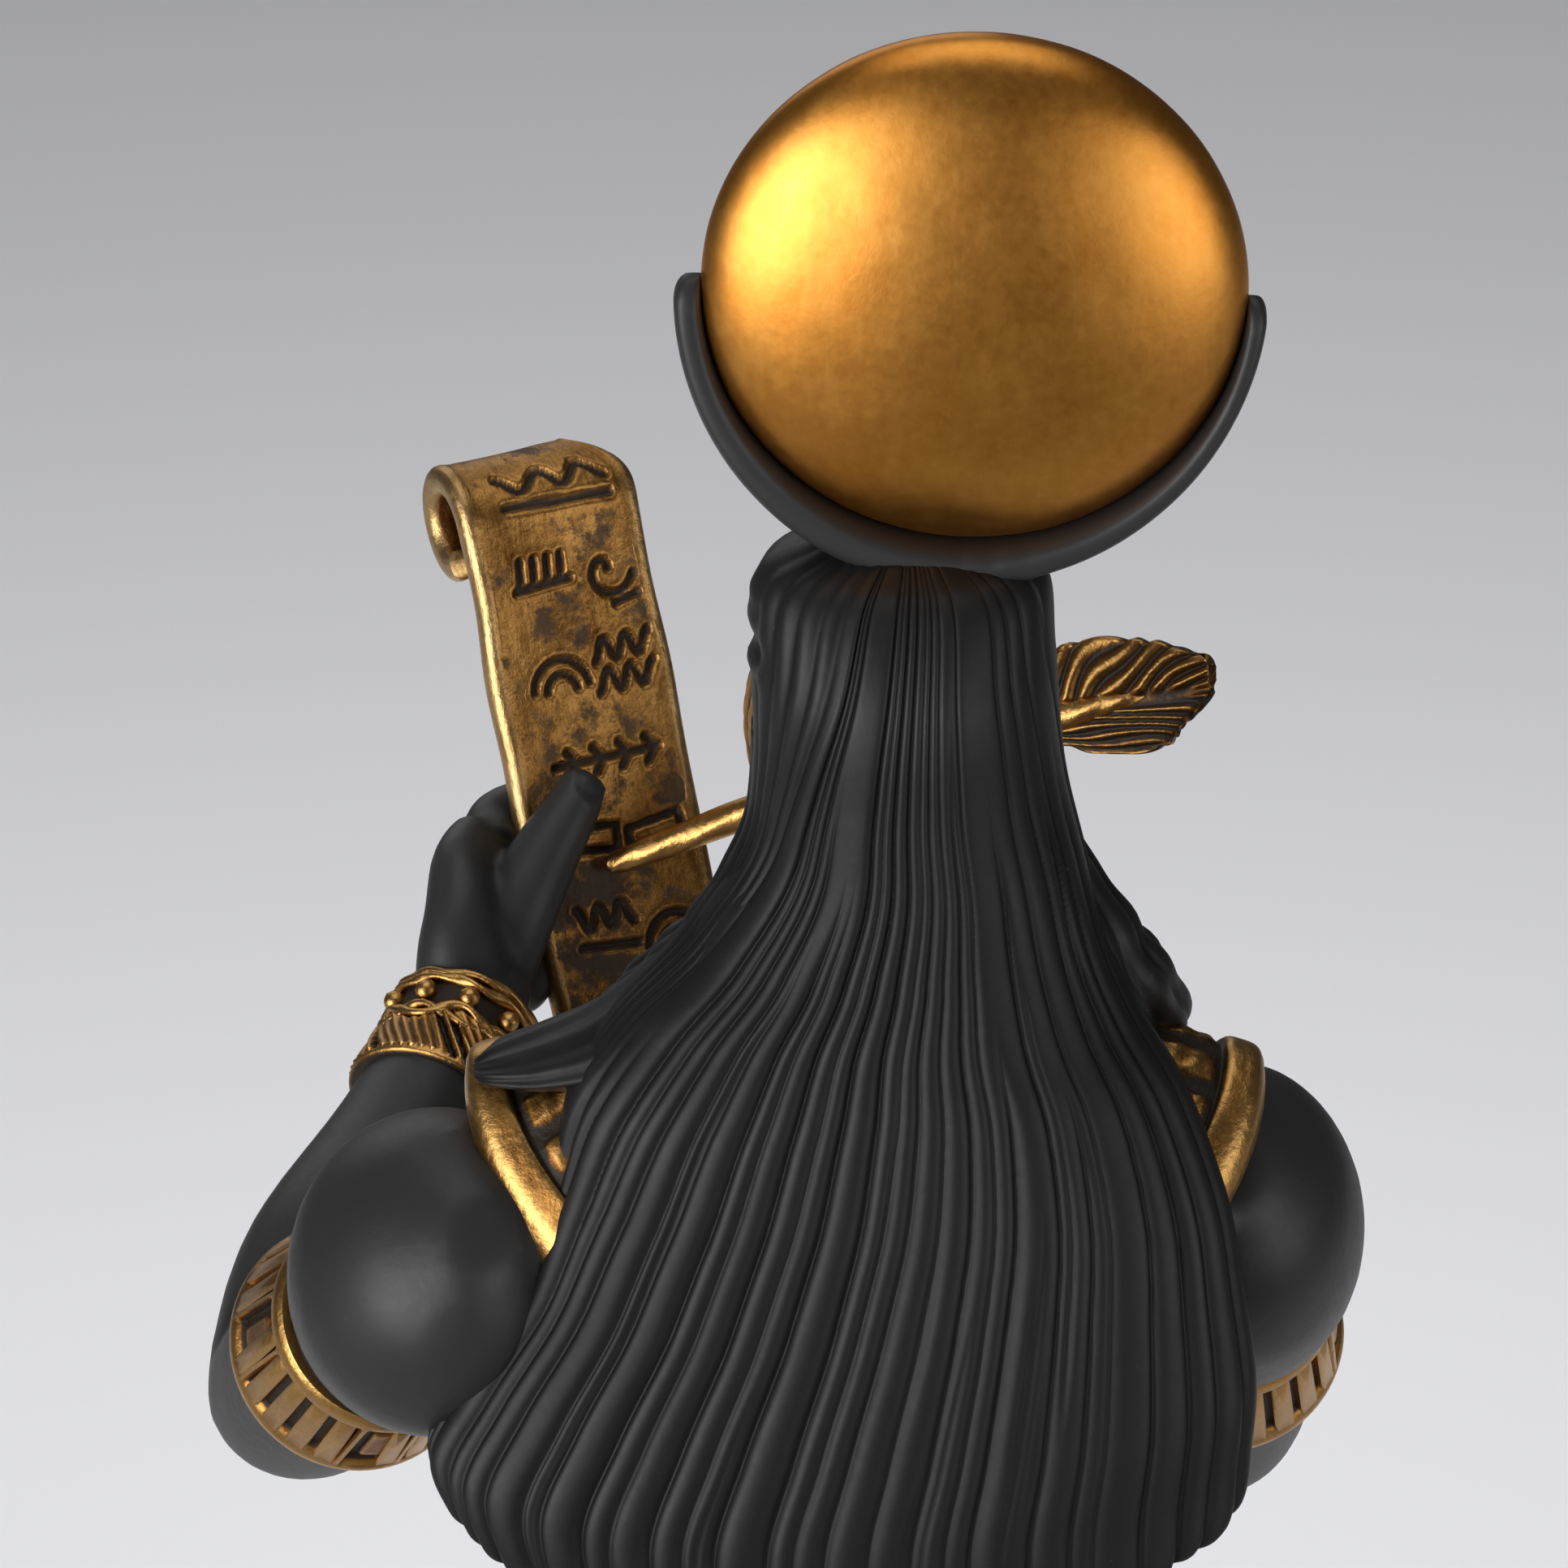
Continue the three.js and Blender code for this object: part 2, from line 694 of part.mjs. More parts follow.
// The pen: a bowed shaft with a writing point and a leaf-shaped vane with cut barbs.
function penSolid(extra = 0) {
  const { tip, bow, grip, root, end, tipRadius, shaftRadius } = pen;
  const shaft = limb(
    [
      [...tip, tipRadius + extra, tipRadius + extra],
      [...between(tip, bow, 0.35), shaftRadius * 0.85 + extra, shaftRadius * 0.85 + extra],
      [...bow, shaftRadius + extra, shaftRadius + extra],
      [...grip, shaftRadius + extra, shaftRadius + extra],
      [...root, shaftRadius * 0.9 + extra, shaftRadius * 0.9 + extra],
      [...between(root, end, 0.8), 0.5 + extra, 0.5 + extra],
    ],
    [0, 1, 0],
    { sides: 7, rings: 9 },
  );
  const alongVane = vec(end).sub(vec(root)).normalize();
  const facing = new THREE.Vector3(-0.1, 0.86, 0.5); // the vane's broad side
  facing.addScaledVector(alongVane, -facing.dot(alongVane)).normalize();
  const across = facing.clone().cross(alongVane);
  const outline = new THREE.Shape();
  const half = pen.vaneHalfWidth + extra;
  const length = pen.vaneLength + extra;
  outline.moveTo(-extra, 0);
  outline.bezierCurveTo(length * 0.15, half * 1.1, length * 0.55, half * 1.4, length * 0.92, half * 0.6);
  outline.lineTo(length, half * 0.3);
  outline.bezierCurveTo(length * 0.96, -half * 0.6, length * 0.6, -half * 1.2, length * 0.3, -half);
  outline.bezierCurveTo(length * 0.15, -half * 0.8, length * 0.05, -half * 0.4, -extra, 0);
  const depth = pen.vaneThickness + 2 * extra;
  const vane = new THREE.ExtrudeGeometry(outline, { depth, bevelEnabled: false, curveSegments: 5 });
  vane.translate(0, 0, -depth / 2);
  const place = new THREE.Matrix4()
    .makeBasis(alongVane, across, facing)
    .setPosition(vec(between(root, end, -0.35)));
  vane.applyMatrix4(place);
  let blade = solid(vane);
  if (!extra) {
    const barbs = 3;
    for (let k = 1; k <= barbs; k++) {
      for (const sign of [1, -1]) {
        const groove = new THREE.BoxGeometry(pen.vaneHalfWidth * 1.1, 0.5, 0.7);
        groove.translate(pen.vaneHalfWidth * 0.75, 0, 0);
        groove.rotateZ(radians(50) * sign);
        groove.translate((pen.vaneLength * (k - 0.2)) / (barbs + 1.6), 0, pen.vaneThickness / 2);
        groove.applyMatrix4(place);
        blade = blade.subtract(solid(groove));
      }
    }
  }
  return shaft.add(blade);
}

function figureSolid() {
  const parts = [
    stack(torsoStations, { sides: 13, rings: 10, power: 2.3 }),
    ...arm("left"),
    ...arm("right"),
    ...leftHand(),
    ...rightHand(),
    ...leg("left"),
    ...leg("right"),
    ...dress(),
    broadCollar(),
    wigSolid(),
    frontLock("left"),
    frontLock("right"),
    ...ibisHead(),
    hornedCrescent(),
  ];
  return join(parts)
    .subtract(solid(scrollGeometry(fitGap)))
    .subtract(penSolid(fitGap));
}

function discGeometry() {
  const profile = [];
  const steps = 8;
  for (let k = 0; k <= steps; k++) {
    const angle = (k / steps - 0.5) * Math.PI;
    profile.push(
      new THREE.Vector2(
        Math.max(disc.radius * Math.cos(angle), 0),
        disc.halfThickness * Math.sin(angle),
      ),
    );
  }
  profile[0].x = 0;
  profile[steps].x = 0;
  const geometry = new THREE.LatheGeometry(profile, 28);
  placeWithDisc(geometry);
  return geometry;
}

// The base: a slab on a slightly wider foot, with chamfered edges.
function baseGeometry() {
  const { width, depth, height, chamfer, plinthStep } = base;
  const rows = [
    [0, 0],
    [height * 0.3, 0],
    [height * 0.38, plinthStep * 0.6],
    [height - chamfer, plinthStep],
    [height, plinthStep + chamfer],
  ];
  const corner = 3;
  const rings = rows.map(([z, inset]) => {
    const [x, y] = [width / 2 - inset, depth / 2 - inset];
    return [
      [x, y - corner],
      [x - corner, y],
      [corner - x, y],
      [-x, y - corner],
      [-x, corner - y],
      [corner - x, -y],
      [x - corner, -y],
      [x, corner - y],
    ].map(([px, py]) => new THREE.Vector3(px, py, z));
  });
  return skin(rings);
}

const statue = new THREE.Group();
const onSpine = new THREE.Group();
onSpine.position.y = spineY;
statue.add(onSpine);
onSpine.add(mesh("figure", geometryOf(figureSolid()), blackResin));
onSpine.add(mesh("moon_disc", geometryOf(solid(discGeometry())), smoothGold));
onSpine.add(mesh("scroll", geometryOf(solid(scrollGeometry())), agedGold));
onSpine.add(mesh("quill_pen", geometryOf(penSolid()), agedGold));
statue.add(mesh("base", geometryOf(solid(baseGeometry())), blackResin));

export default statue;
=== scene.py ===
import math

import bmesh
import bpy
import numpy as np
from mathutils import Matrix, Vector


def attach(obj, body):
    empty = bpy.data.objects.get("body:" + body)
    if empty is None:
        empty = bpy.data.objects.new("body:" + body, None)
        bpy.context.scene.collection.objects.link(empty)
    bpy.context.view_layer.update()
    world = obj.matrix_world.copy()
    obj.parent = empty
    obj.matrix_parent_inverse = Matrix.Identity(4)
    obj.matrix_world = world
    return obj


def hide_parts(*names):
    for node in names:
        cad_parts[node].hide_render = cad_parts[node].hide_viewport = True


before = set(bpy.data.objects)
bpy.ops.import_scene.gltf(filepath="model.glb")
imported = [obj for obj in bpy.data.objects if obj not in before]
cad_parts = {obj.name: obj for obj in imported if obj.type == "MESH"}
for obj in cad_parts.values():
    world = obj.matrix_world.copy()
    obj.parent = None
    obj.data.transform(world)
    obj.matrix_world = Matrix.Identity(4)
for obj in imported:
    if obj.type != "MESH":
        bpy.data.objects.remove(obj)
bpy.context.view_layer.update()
print("frame loaded:", ", ".join(sorted(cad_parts)))

# Sizes are millimetres about the figure's upright line, which stands behind the middle of the base.
spineY = 15.0


# Numbers and shells


def toWorld(points):
    return (np.asarray(points, float) + [0, spineY, 0]) * 0.001


def unit(vector):
    vector = np.asarray(vector, float)
    return vector / np.linalg.norm(vector, axis=-1, keepdims=True)


def mix(a, b, f):
    return np.asarray(a, float) * (1 - f) + np.asarray(b, float) * f


def ease(low, high, x):
    f = np.clip((np.asarray(x, float) - low) / (high - low), 0, 1)
    return f * f * (3 - 2 * f)


def bump(x, middle, half, edge):  # 1 inside a stripe, easing to 0 over its edge
    return 1 - ease(half - edge, half, np.abs(x - middle))


def along(rows, t):  # smooth values between stations for an array of t from 0 to 1
    rows = np.asarray(rows, float)
    t = np.clip(np.atleast_1d(np.asarray(t, float)), 0, 1)
    place = t * (len(rows) - 1)
    i = np.minimum(place.astype(int), len(rows) - 2)
    f = (place - i)[:, None]
    a, b, c, d = (rows[np.clip(i + k, 0, len(rows) - 1)] for k in (-1, 0, 1, 2))
    rise, fall = (c - a) / 2, (d - b) / 2
    return (
        (2 * f**3 - 3 * f**2 + 1) * b
        + (f**3 - 2 * f**2 + f) * rise
        + (3 * f**2 - 2 * f**3) * c
        + (f**3 - f**2) * fall
    )


def closedSkin(rings):  # rings of equal length joined in order, a point in the middle of each end
    rings = np.asarray(rings, float)
    count, sides = rings.shape[:2]
    index = np.arange(count * sides).reshape(count, sides)
    turned = np.roll(index, -1, axis=1)
    quads = np.stack([index[:-1], turned[:-1], turned[1:], index[1:]], axis=-1)
    low, high = count * sides, count * sides + 1
    caps = [[low, int(b), int(a)] for a, b in zip(index[0], turned[0])]
    caps += [[high, int(a), int(b)] for a, b in zip(index[-1], turned[-1])]
    points = np.vstack([rings.reshape(-1, 3), rings[0].mean(axis=0), rings[-1].mean(axis=0)])
    return points, quads.reshape(-1, 4).tolist() + caps


def ringSkin(rings):  # the same, with the last ring joined to the first
    rings = np.asarray(rings, float)
    count, sides = rings.shape[:2]
    index = np.arange(count * sides).reshape(count, sides)
    turned = np.roll(index, -1, axis=1)
    quads = np.stack(
        [index, turned, np.roll(turned, -1, axis=0), np.roll(index, -1, axis=0)], axis=-1
    )
    return rings.reshape(-1, 3), quads.reshape(-1, 4).tolist()


def roundAngles(count):
    return np.arange(count) / count * 2 * math.pi


def limbFrames(stations, side, t):
    rows = along(stations, t)
    tangent = unit(along(stations, t + 0.02)[:, :3] - along(stations, t - 0.02)[:, :3])
    side = np.asarray(side, float)
    across = unit(side - (tangent @ side)[:, None] * tangent)
    return rows, tangent, across, np.cross(tangent, across)


def limb(stations, side, sides=36, rings=48, relief=None):
    t = np.linspace(0, 1, rings + 1)
    rows, _, across, other = limbFrames(stations, side, t)
    angle = roundAngles(sides)
    extra = relief(*np.meshgrid(angle, t)) if relief else np.zeros((rings + 1, sides))
    wide = (rows[:, 3:4] + extra) * np.cos(angle)
    deep = (rows[:, 4:5] + extra) * np.sin(angle)
    return closedSkin(
        rows[:, None, :3] + wide[..., None] * across[:, None] + deep[..., None] * other[:, None]
    )


def stack(stations, sides=120, rings=90, power=2.0, relief=None):  # level sections
    t = np.linspace(0, 1, rings + 1)
    rows = along(stations, t)
    angle = roundAngles(sides)
    c, n = np.cos(angle), np.sin(angle)
    squareC = np.sign(c) * np.abs(c) ** (2 / power)
    squareN = np.sign(n) * np.abs(n) ** (2 / power)
    extra = relief(*np.meshgrid(angle, t)) if relief else np.zeros((rings + 1, sides))
    x = rows[:, 1:2] + (rows[:, 3:4] + extra) * squareC
    y = rows[:, 2:3] + (rows[:, 4:5] + extra) * squareN
    z = np.repeat(rows[:, :1], sides, axis=1)
    return closedSkin(np.stack([x, y, z], axis=-1))


# Blender objects


def makePiece(name, shells, finish, crease=None, paint=None):
    points, faces, start = [], [], 0
    for shellPoints, shellFaces in shells:
        points.append(shellPoints)
        faces += [[start + i for i in face] for face in shellFaces]
        start += len(shellPoints)
    mesh = bpy.data.meshes.new(name)
    mesh.from_pydata(toWorld(np.vstack(points)).tolist(), [], faces)
    if paint is not None:  # how much black lies on each point
        markValue(mesh, "paint", paint)
    work = bmesh.new()
    work.from_mesh(mesh)
    bmesh.ops.remove_doubles(work, verts=work.verts, dist=1e-7)
    bmesh.ops.recalc_face_normals(work, faces=work.faces)
    work.to_mesh(mesh)
    work.free()
    mesh.shade_smooth()
    if crease:
        mesh.set_sharp_from_angle(angle=math.radians(crease))
    mesh.materials.append(finish)
    piece = bpy.data.objects.new(name, mesh)
    bpy.context.scene.collection.objects.link(piece)
    return piece


def evaluatedMesh(piece):
    graph = bpy.context.evaluated_depsgraph_get()
    return bpy.data.meshes.new_from_object(piece.evaluated_get(graph))


def plainMesh(piece):  # the evaluated shape becomes the mesh, and the modifiers go
    mesh = evaluatedMesh(piece)
    piece.modifiers.clear()
    piece.data = mesh
    return piece


def fuse(piece, voxel, rounds):  # overlapping shells become one skin
    skin = piece.modifiers.new("skin", "REMESH")
    skin.mode = "VOXEL"
    skin.voxel_size = voxel * 0.001
    skin.use_smooth_shade = True
    soft = piece.modifiers.new("soft", "SMOOTH")
    soft.factor = 0.5
    soft.iterations = rounds
    return plainMesh(piece)


def readPoints(mesh):
    points = np.empty(len(mesh.vertices) * 3)
    mesh.vertices.foreach_get("co", points)
    return points.reshape(-1, 3) * 1000 - [0, spineY, 0]


def movePoints(mesh, points):
    mesh.vertices.foreach_set("co", toWorld(points).ravel())
    mesh.update()


def shellOf(mesh):  # a mesh as a shell in millimetres, to be joined into a piece
    points = readPoints(mesh)
    return points, [list(face.vertices) for face in mesh.polygons]


def markValue(mesh, name, values):
    layer = mesh.attributes.new(name, "FLOAT", "POINT")
    layer.data.foreach_set("value", np.asarray(values, np.float32))


def markHollows(piece, reach):  # how far, in millimetres, each point lies below its surroundings
    mesh = piece.data
    count = len(mesh.vertices)
    points = readPoints(mesh)
    normals = np.empty(count * 3)
    mesh.vertices.foreach_get("normal", normals)
    ends = np.empty(len(mesh.edges) * 2, int)
    mesh.edges.foreach_get("vertices", ends)
    a, b = ends.reshape(-1, 2).T
    degree = np.maximum(np.bincount(a, minlength=count) + np.bincount(b, minlength=count), 1)
    spacing = np.median(np.linalg.norm(points[a] - points[b], axis=1))
    flat = points.copy()
    for _ in range(int(np.clip((reach / spacing) ** 2, 2, 60))):
        total = [
            np.bincount(a, flat[b, k], count) + np.bincount(b, flat[a, k], count) for k in range(3)
        ]
        flat = 0.4 * flat + 0.6 * np.stack(total, axis=1) / degree[:, None]
    markValue(mesh, "hollow", ((flat - points) * normals.reshape(-1, 3)).sum(axis=1))


def settle(piece, reach=0, node="figure"):
    if reach:
        markHollows(piece, reach)
    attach(piece, "root")
    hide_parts(node)
    print("made", piece.name, len(piece.data.polygons), "faces")


# Node trees


class Flow:  # a socket that Python's operators work on
    def __init__(self, graph, socket):
        self.graph = graph
        self.socket = socket

    def maths(self, operation, left, right):
        return self.graph.node("ShaderNodeMath", {"operation": operation}, {0: left, 1: right})

    def __add__(self, other):
        return self.maths("ADD", self, other)

    def __radd__(self, other):
        return self.maths("ADD", other, self)

    def __sub__(self, other):
        return self.maths("SUBTRACT", self, other)

    def __rsub__(self, other):
        return self.maths("SUBTRACT", other, self)

    def __mul__(self, other):
        return self.maths("MULTIPLY", self, other)

    def __rmul__(self, other):
        return self.maths("MULTIPLY", other, self)

    def __truediv__(self, other):
        return self.maths("DIVIDE", self, other)

    def __mod__(self, other):
        return self.maths("MODULO", self, other)

    def __gt__(self, other):
        return self.maths("GREATER_THAN", self, other)


class Graph:  # a node tree: one method adds any node, its settings first, then its sockets
    def __init__(self, tree):
        self.tree = tree

    def node(self, kind, settings=None, sockets=None, take=0):
        made = self.tree.nodes.new(kind)
        for key, value in (settings or {}).items():
            setattr(made, key, value)
        for key, value in (sockets or {}).items():
            if isinstance(value, Flow):
                self.tree.links.new(value.socket, made.inputs[key])
            else:
                made.inputs[key].default_value = value
        return Flow(self, made.outputs[take])


class Finish(Graph):  # a material with one Principled shader
    def __init__(self, name):
        self.material = bpy.data.materials.new(name)
        self.material.use_nodes = True
        super().__init__(self.material.node_tree)
        self.shader = self.tree.nodes["Principled BSDF"]
        self.place = self.node("ShaderNodeTexCoord", take=3)

    def set(self, sockets):
        for key, value in sockets.items():
            if isinstance(value, Flow):
                self.tree.links.new(value.socket, self.shader.inputs[key])
            else:
                self.shader.inputs[key].default_value = value
        return self.material

    def noise(self, scale, detail=4.0, rough=0.5, where=None):
        sockets = {"Vector": where or self.place, "Scale": scale, "Detail": detail}
        return self.node("ShaderNodeTexNoise", sockets={**sockets, "Roughness": rough})

    def span(self, value, low, high, start=0.0, end=1.0):  # a value's range mapped and clamped
        return self.node(
            "ShaderNodeMapRange", {"clamp": True}, {0: value, 1: low, 2: high, 3: start, 4: end}
        )

    def blend(self, factor, first, second):
        return self.node(
            "ShaderNodeMix", {"data_type": "RGBA"}, {0: factor, 6: first, 7: second}, take=2
        )

    def mark(self, name):
        return self.node("ShaderNodeAttribute", {"attribute_name": name}, take=2)

    def relief(self, height, distance, strength=1.0):
        sockets = {"Strength": strength, "Distance": distance, "Height": height}
        return self.node("ShaderNodeBump", sockets=sockets)

    def stretched(self, scale, turn=(0, 0, 0)):
        return self.node(
            "ShaderNodeMapping", sockets={"Vector": self.place, "Rotation": turn, "Scale": scale}
        )


def startTree(name, sizes):  # a geometry tree with named inputs
    tree = bpy.data.node_groups.new(name, "GeometryNodeTree")
    tree.interface.new_socket("Shape", in_out="INPUT", socket_type="NodeSocketGeometry")
    for label, value in sizes.items():
        kind = "NodeSocketInt" if isinstance(value, int) else "NodeSocketFloat"
        socket = tree.interface.new_socket(label, in_out="INPUT", socket_type=kind)
        socket.default_value = value
    tree.interface.new_socket("Finish", in_out="INPUT", socket_type="NodeSocketMaterial")
    tree.interface.new_socket("Result", in_out="OUTPUT", socket_type="NodeSocketGeometry")
    graph = Graph(tree)
    entry = tree.nodes.new("NodeGroupInput")
    return graph, {socket.name: Flow(graph, socket) for socket in entry.outputs if socket.name}


def endTree(graph, result, entry):
    real = graph.node("GeometryNodeRealizeInstances", sockets={0: result})
    smooth = graph.node("GeometryNodeSetShadeSmooth", sockets={0: real})
    last = graph.node(
        "GeometryNodeSetMaterial", sockets={"Geometry": smooth, "Material": entry["Finish"]}
    )
    leave = graph.tree.nodes.new("NodeGroupOutput")
    graph.tree.links.new(last.socket, leave.inputs[0])
    return graph.tree


def addTree(piece, tree, values):
    build = piece.modifiers.new("build", "NODES")
    build.node_group = tree
    for item in tree.interface.items_tree:
        if item.in_out == "INPUT" and item.name in values:
            build[item.identifier] = values[item.name]


def ringTree():  # a small shape repeated round a circle, with an even gap after every few
    graph, entry = startTree(
        "shapesRoundRing", {"Count": 12, "Radius": 0.01, "Slant": 0.0, "Run": 0, "Gap": 0}
    )
    sockets = {"Vertices": entry["Count"], "Radius": entry["Radius"]}
    circle = graph.node("GeometryNodeMeshCircle", sockets=sockets)
    index = graph.node("GeometryNodeInputIndex")
    turn = graph.node(
        "ShaderNodeCombineXYZ", sockets={0: entry["Slant"], 2: index / entry["Count"] * math.tau}
    )
    kept = (index % (entry["Run"] + entry["Gap"] + 0.001)) > (entry["Gap"] - 0.5)
    placed = graph.node(
        "GeometryNodeInstanceOnPoints",
        sockets={"Points": circle, "Selection": kept, "Instance": entry["Shape"], "Rotation": turn},
    )
    return endTree(graph, placed, entry)


def cordTree():  # a twisted cord of a few lobes along a path
    graph, entry = startTree(
        "twistedCord", {"Radius": 0.0005, "Lobes": 3, "Twists": 40, "Steps": 400, "Cut": 0.25}
    )
    path = graph.node(
        "GeometryNodeResampleCurve", sockets={"Curve": entry["Shape"], "Count": entry["Steps"]}
    )
    share = graph.node("GeometryNodeSplineParameter")
    tilt = share * (entry["Twists"] * math.tau)
    path = graph.node("GeometryNodeSetCurveTilt", sockets={"Curve": path, "Tilt": tilt})
    ring = graph.node(
        "GeometryNodeCurvePrimitiveCircle", sockets={"Resolution": 12, "Radius": entry["Radius"]}
    )
    angle = share * math.tau
    wave = graph.node("ShaderNodeMath", {"operation": "COSINE"}, {0: angle * entry["Lobes"]})
    grow = 1 + wave * entry["Cut"]
    place = graph.node("GeometryNodeInputPosition")
    lobed = graph.node(
        "ShaderNodeVectorMath", {"operation": "SCALE"}, {0: place, "Scale": grow}
    )
    ring = graph.node("GeometryNodeSetPosition", sockets={"Geometry": ring, "Position": lobed})
    swept = graph.node("GeometryNodeCurveToMesh", sockets={"Curve": path, "Profile Curve": ring})
    return endTree(graph, swept, entry)


shapesRoundRing = ringTree()
twistedCord = cordTree()


def ringOf(shape, radius, finish, count, slant=0.0, run=0, gap=0):  # a flat ring, in millimetres
    host = makePiece("ringShape", [shape], finish)
    points = readPoints(host.data)
    host.data.vertices.foreach_set("co", (points * 0.001).ravel())
    values = {"Count": count, "Radius": radius * 0.001, "Slant": slant, "Run": run, "Gap": gap}
    addTree(host, shapesRoundRing, {**values, "Finish": finish})
    plainMesh(host)
    points = np.empty(len(host.data.vertices) * 3)
    host.data.vertices.foreach_get("co", points)
    faces = [list(face.vertices) for face in host.data.polygons]
    bpy.data.objects.remove(host)
    return points.reshape(-1, 3) * 1000, faces


def cordOn(path, radius, finish, twists, lobes=3, cut=0.25, steps=None):  # a closed cord
    curve = bpy.data.curves.new("cordPath", "CURVE")
    curve.dimensions = "3D"
    spline = curve.splines.new("POLY")
    spline.points.add(len(path) - 1)
    spline.points.foreach_set("co", np.hstack([toWorld(path), np.ones((len(path), 1))]).ravel())
    spline.use_cyclic_u = True
    host = bpy.data.objects.new("cord", curve)
    bpy.context.scene.collection.objects.link(host)
    values = {"Radius": radius * 0.001, "Lobes": lobes, "Twists": twists, "Cut": cut}
    addTree(host, twistedCord, {**values, "Steps": steps or 2 * len(path), "Finish": finish})
    shell = shellOf(evaluatedMesh(host))
    bpy.data.objects.remove(host)
    return shell


def roundedBlock(size, edge=0.25):  # a small block with eased edges, for what is repeated
    x, y, z = np.asarray(size, float) / 2
    rings = []
    for depth, inset in ((-x, edge), (-x + edge, 0), (x - edge, 0), (x, edge)):
        w, h = y - inset, z - inset
        corner = [(w, h - edge), (w - edge, h), (edge - w, h), (-w, h - edge)]
        corner += [(-w, edge - h), (edge - w, -h), (w - edge, -h), (w, edge - h)]
        rings.append([(depth, b, c) for b, c in corner])
    return closedSkin(rings)


def bead(radius, sides=10, rings=6):
    t = np.linspace(0.12, math.pi - 0.12, rings)
    angle = roundAngles(sides)
    return closedSkin(
        [
            np.stack(
                [
                    radius * math.sin(a) * np.cos(angle),
                    radius * math.sin(a) * np.sin(angle),
                    np.full(sides, radius * math.cos(a)),
                ],
                axis=-1,
            )
            for a in t
        ]
    )


# Finishes


def blackResinFinish(name, grooves, tone, sheen):
    look = Finish(name)
    cloud = look.noise(45, 3)
    grain = look.noise(1500, 4, 0.6)
    hollow = look.mark("hollow") * grooves
    # painted shade: deep grows with how far a point lies in a hollow, and darkens the black there
    deep = look.span(hollow, 0.02, 0.2)
    worn = look.span(hollow, -0.03, -0.16)
    base = look.blend(cloud, (tone, tone, tone * 1.06, 1), (tone * 1.7, tone * 1.7, tone * 1.75, 1))
    base = look.blend(worn * 0.5, base, (tone * 4, tone * 3.9, tone * 3.9, 1))
    base = look.blend(deep * 0.7, base, (tone * 0.6, tone * 0.6, tone * 0.6, 1))
    fleck = look.span(look.noise(900, 2, 0.8), 0.74, 0.78)
    base = look.blend(fleck * 0.25, base, (0.09, 0.085, 0.08, 1))
    height = grain * 0.5 + look.noise(320, 3)
    sockets = {"Base Color": base, "Roughness": 0.43 + grain * 0.12 + cloud * 0.05 - worn * 0.07}
    sockets["Specular IOR Level"] = sheen
    return look.set({**sockets, "Normal": look.relief(height, 0.00009, 0.45)})


def agedGoldFinish(name, black, bright=1.0):  # gold rubbed over black, which stays in the hollows
    look = Finish(name)
    hollow = look.mark("hollow")
    patch = look.noise(260, 5, 0.65)
    grain = look.noise(1700, 4, 0.65)
    soot = look.span(hollow + (patch - 0.5) * 0.24 + (grain - 0.5) * 0.1 + black, 0.012, 0.075)
    paint = look.mark("paint")
    painted = look.span(paint + (grain - 0.5) * 0.5, 0.4, 0.65)
    soot = look.node("ShaderNodeMath", {"operation": "MAXIMUM"}, {0: soot, 1: painted})
    worn = look.span(hollow, -0.01, -0.13)
    gold = look.blend(
        look.span(patch * 0.6 + grain * 0.4, 0.36, 0.62),
        (0.15 * bright, 0.062 * bright, 0.014 * bright, 1),
        (0.46 * bright, 0.22 * bright, 0.055 * bright, 1),
    )
    gold = look.blend(worn * 0.55, gold, (0.74 * bright, 0.44 * bright, 0.15 * bright, 1))
    gold = look.blend(look.span(paint, 0.0, 0.4), gold, (0.115, 0.05, 0.012, 1))
    base = look.blend(soot * 0.95, gold, (0.016, 0.010, 0.005, 1))
    sockets = {"Base Color": base, "Metallic": 1 - soot * 0.65}
    sockets["Roughness"] = 0.32 + grain * 0.16 + soot * 0.14 - worn * 0.06
    height = grain * 0.5 + patch * 1.2
    return look.set({**sockets, "Normal": look.relief(height, 0.0002, 0.6)})


def goldLeafFinish():
    look = Finish("goldLeaf")
    cloud = look.noise(60, 5, 0.6)
    brushed = look.noise(1.0, 4, 0.6, look.stretched((900, 900, 90)))
    grain = look.noise(1100, 5, 0.7)
    tone = look.span(cloud * 0.6 + brushed * 0.15 + grain * 0.25, 0.34, 0.66)
    base = look.blend(tone, (0.58, 0.205, 0.025, 1), (0.84, 0.40, 0.085, 1))
    sockets = {"Base Color": base, "Metallic": 1.0, "Roughness": 0.25 + grain * 0.1 + cloud * 0.12}
    height = grain * 0.35 + look.noise(150, 3)
    return look.set({**sockets, "Normal": look.relief(height, 0.0001, 0.4)})


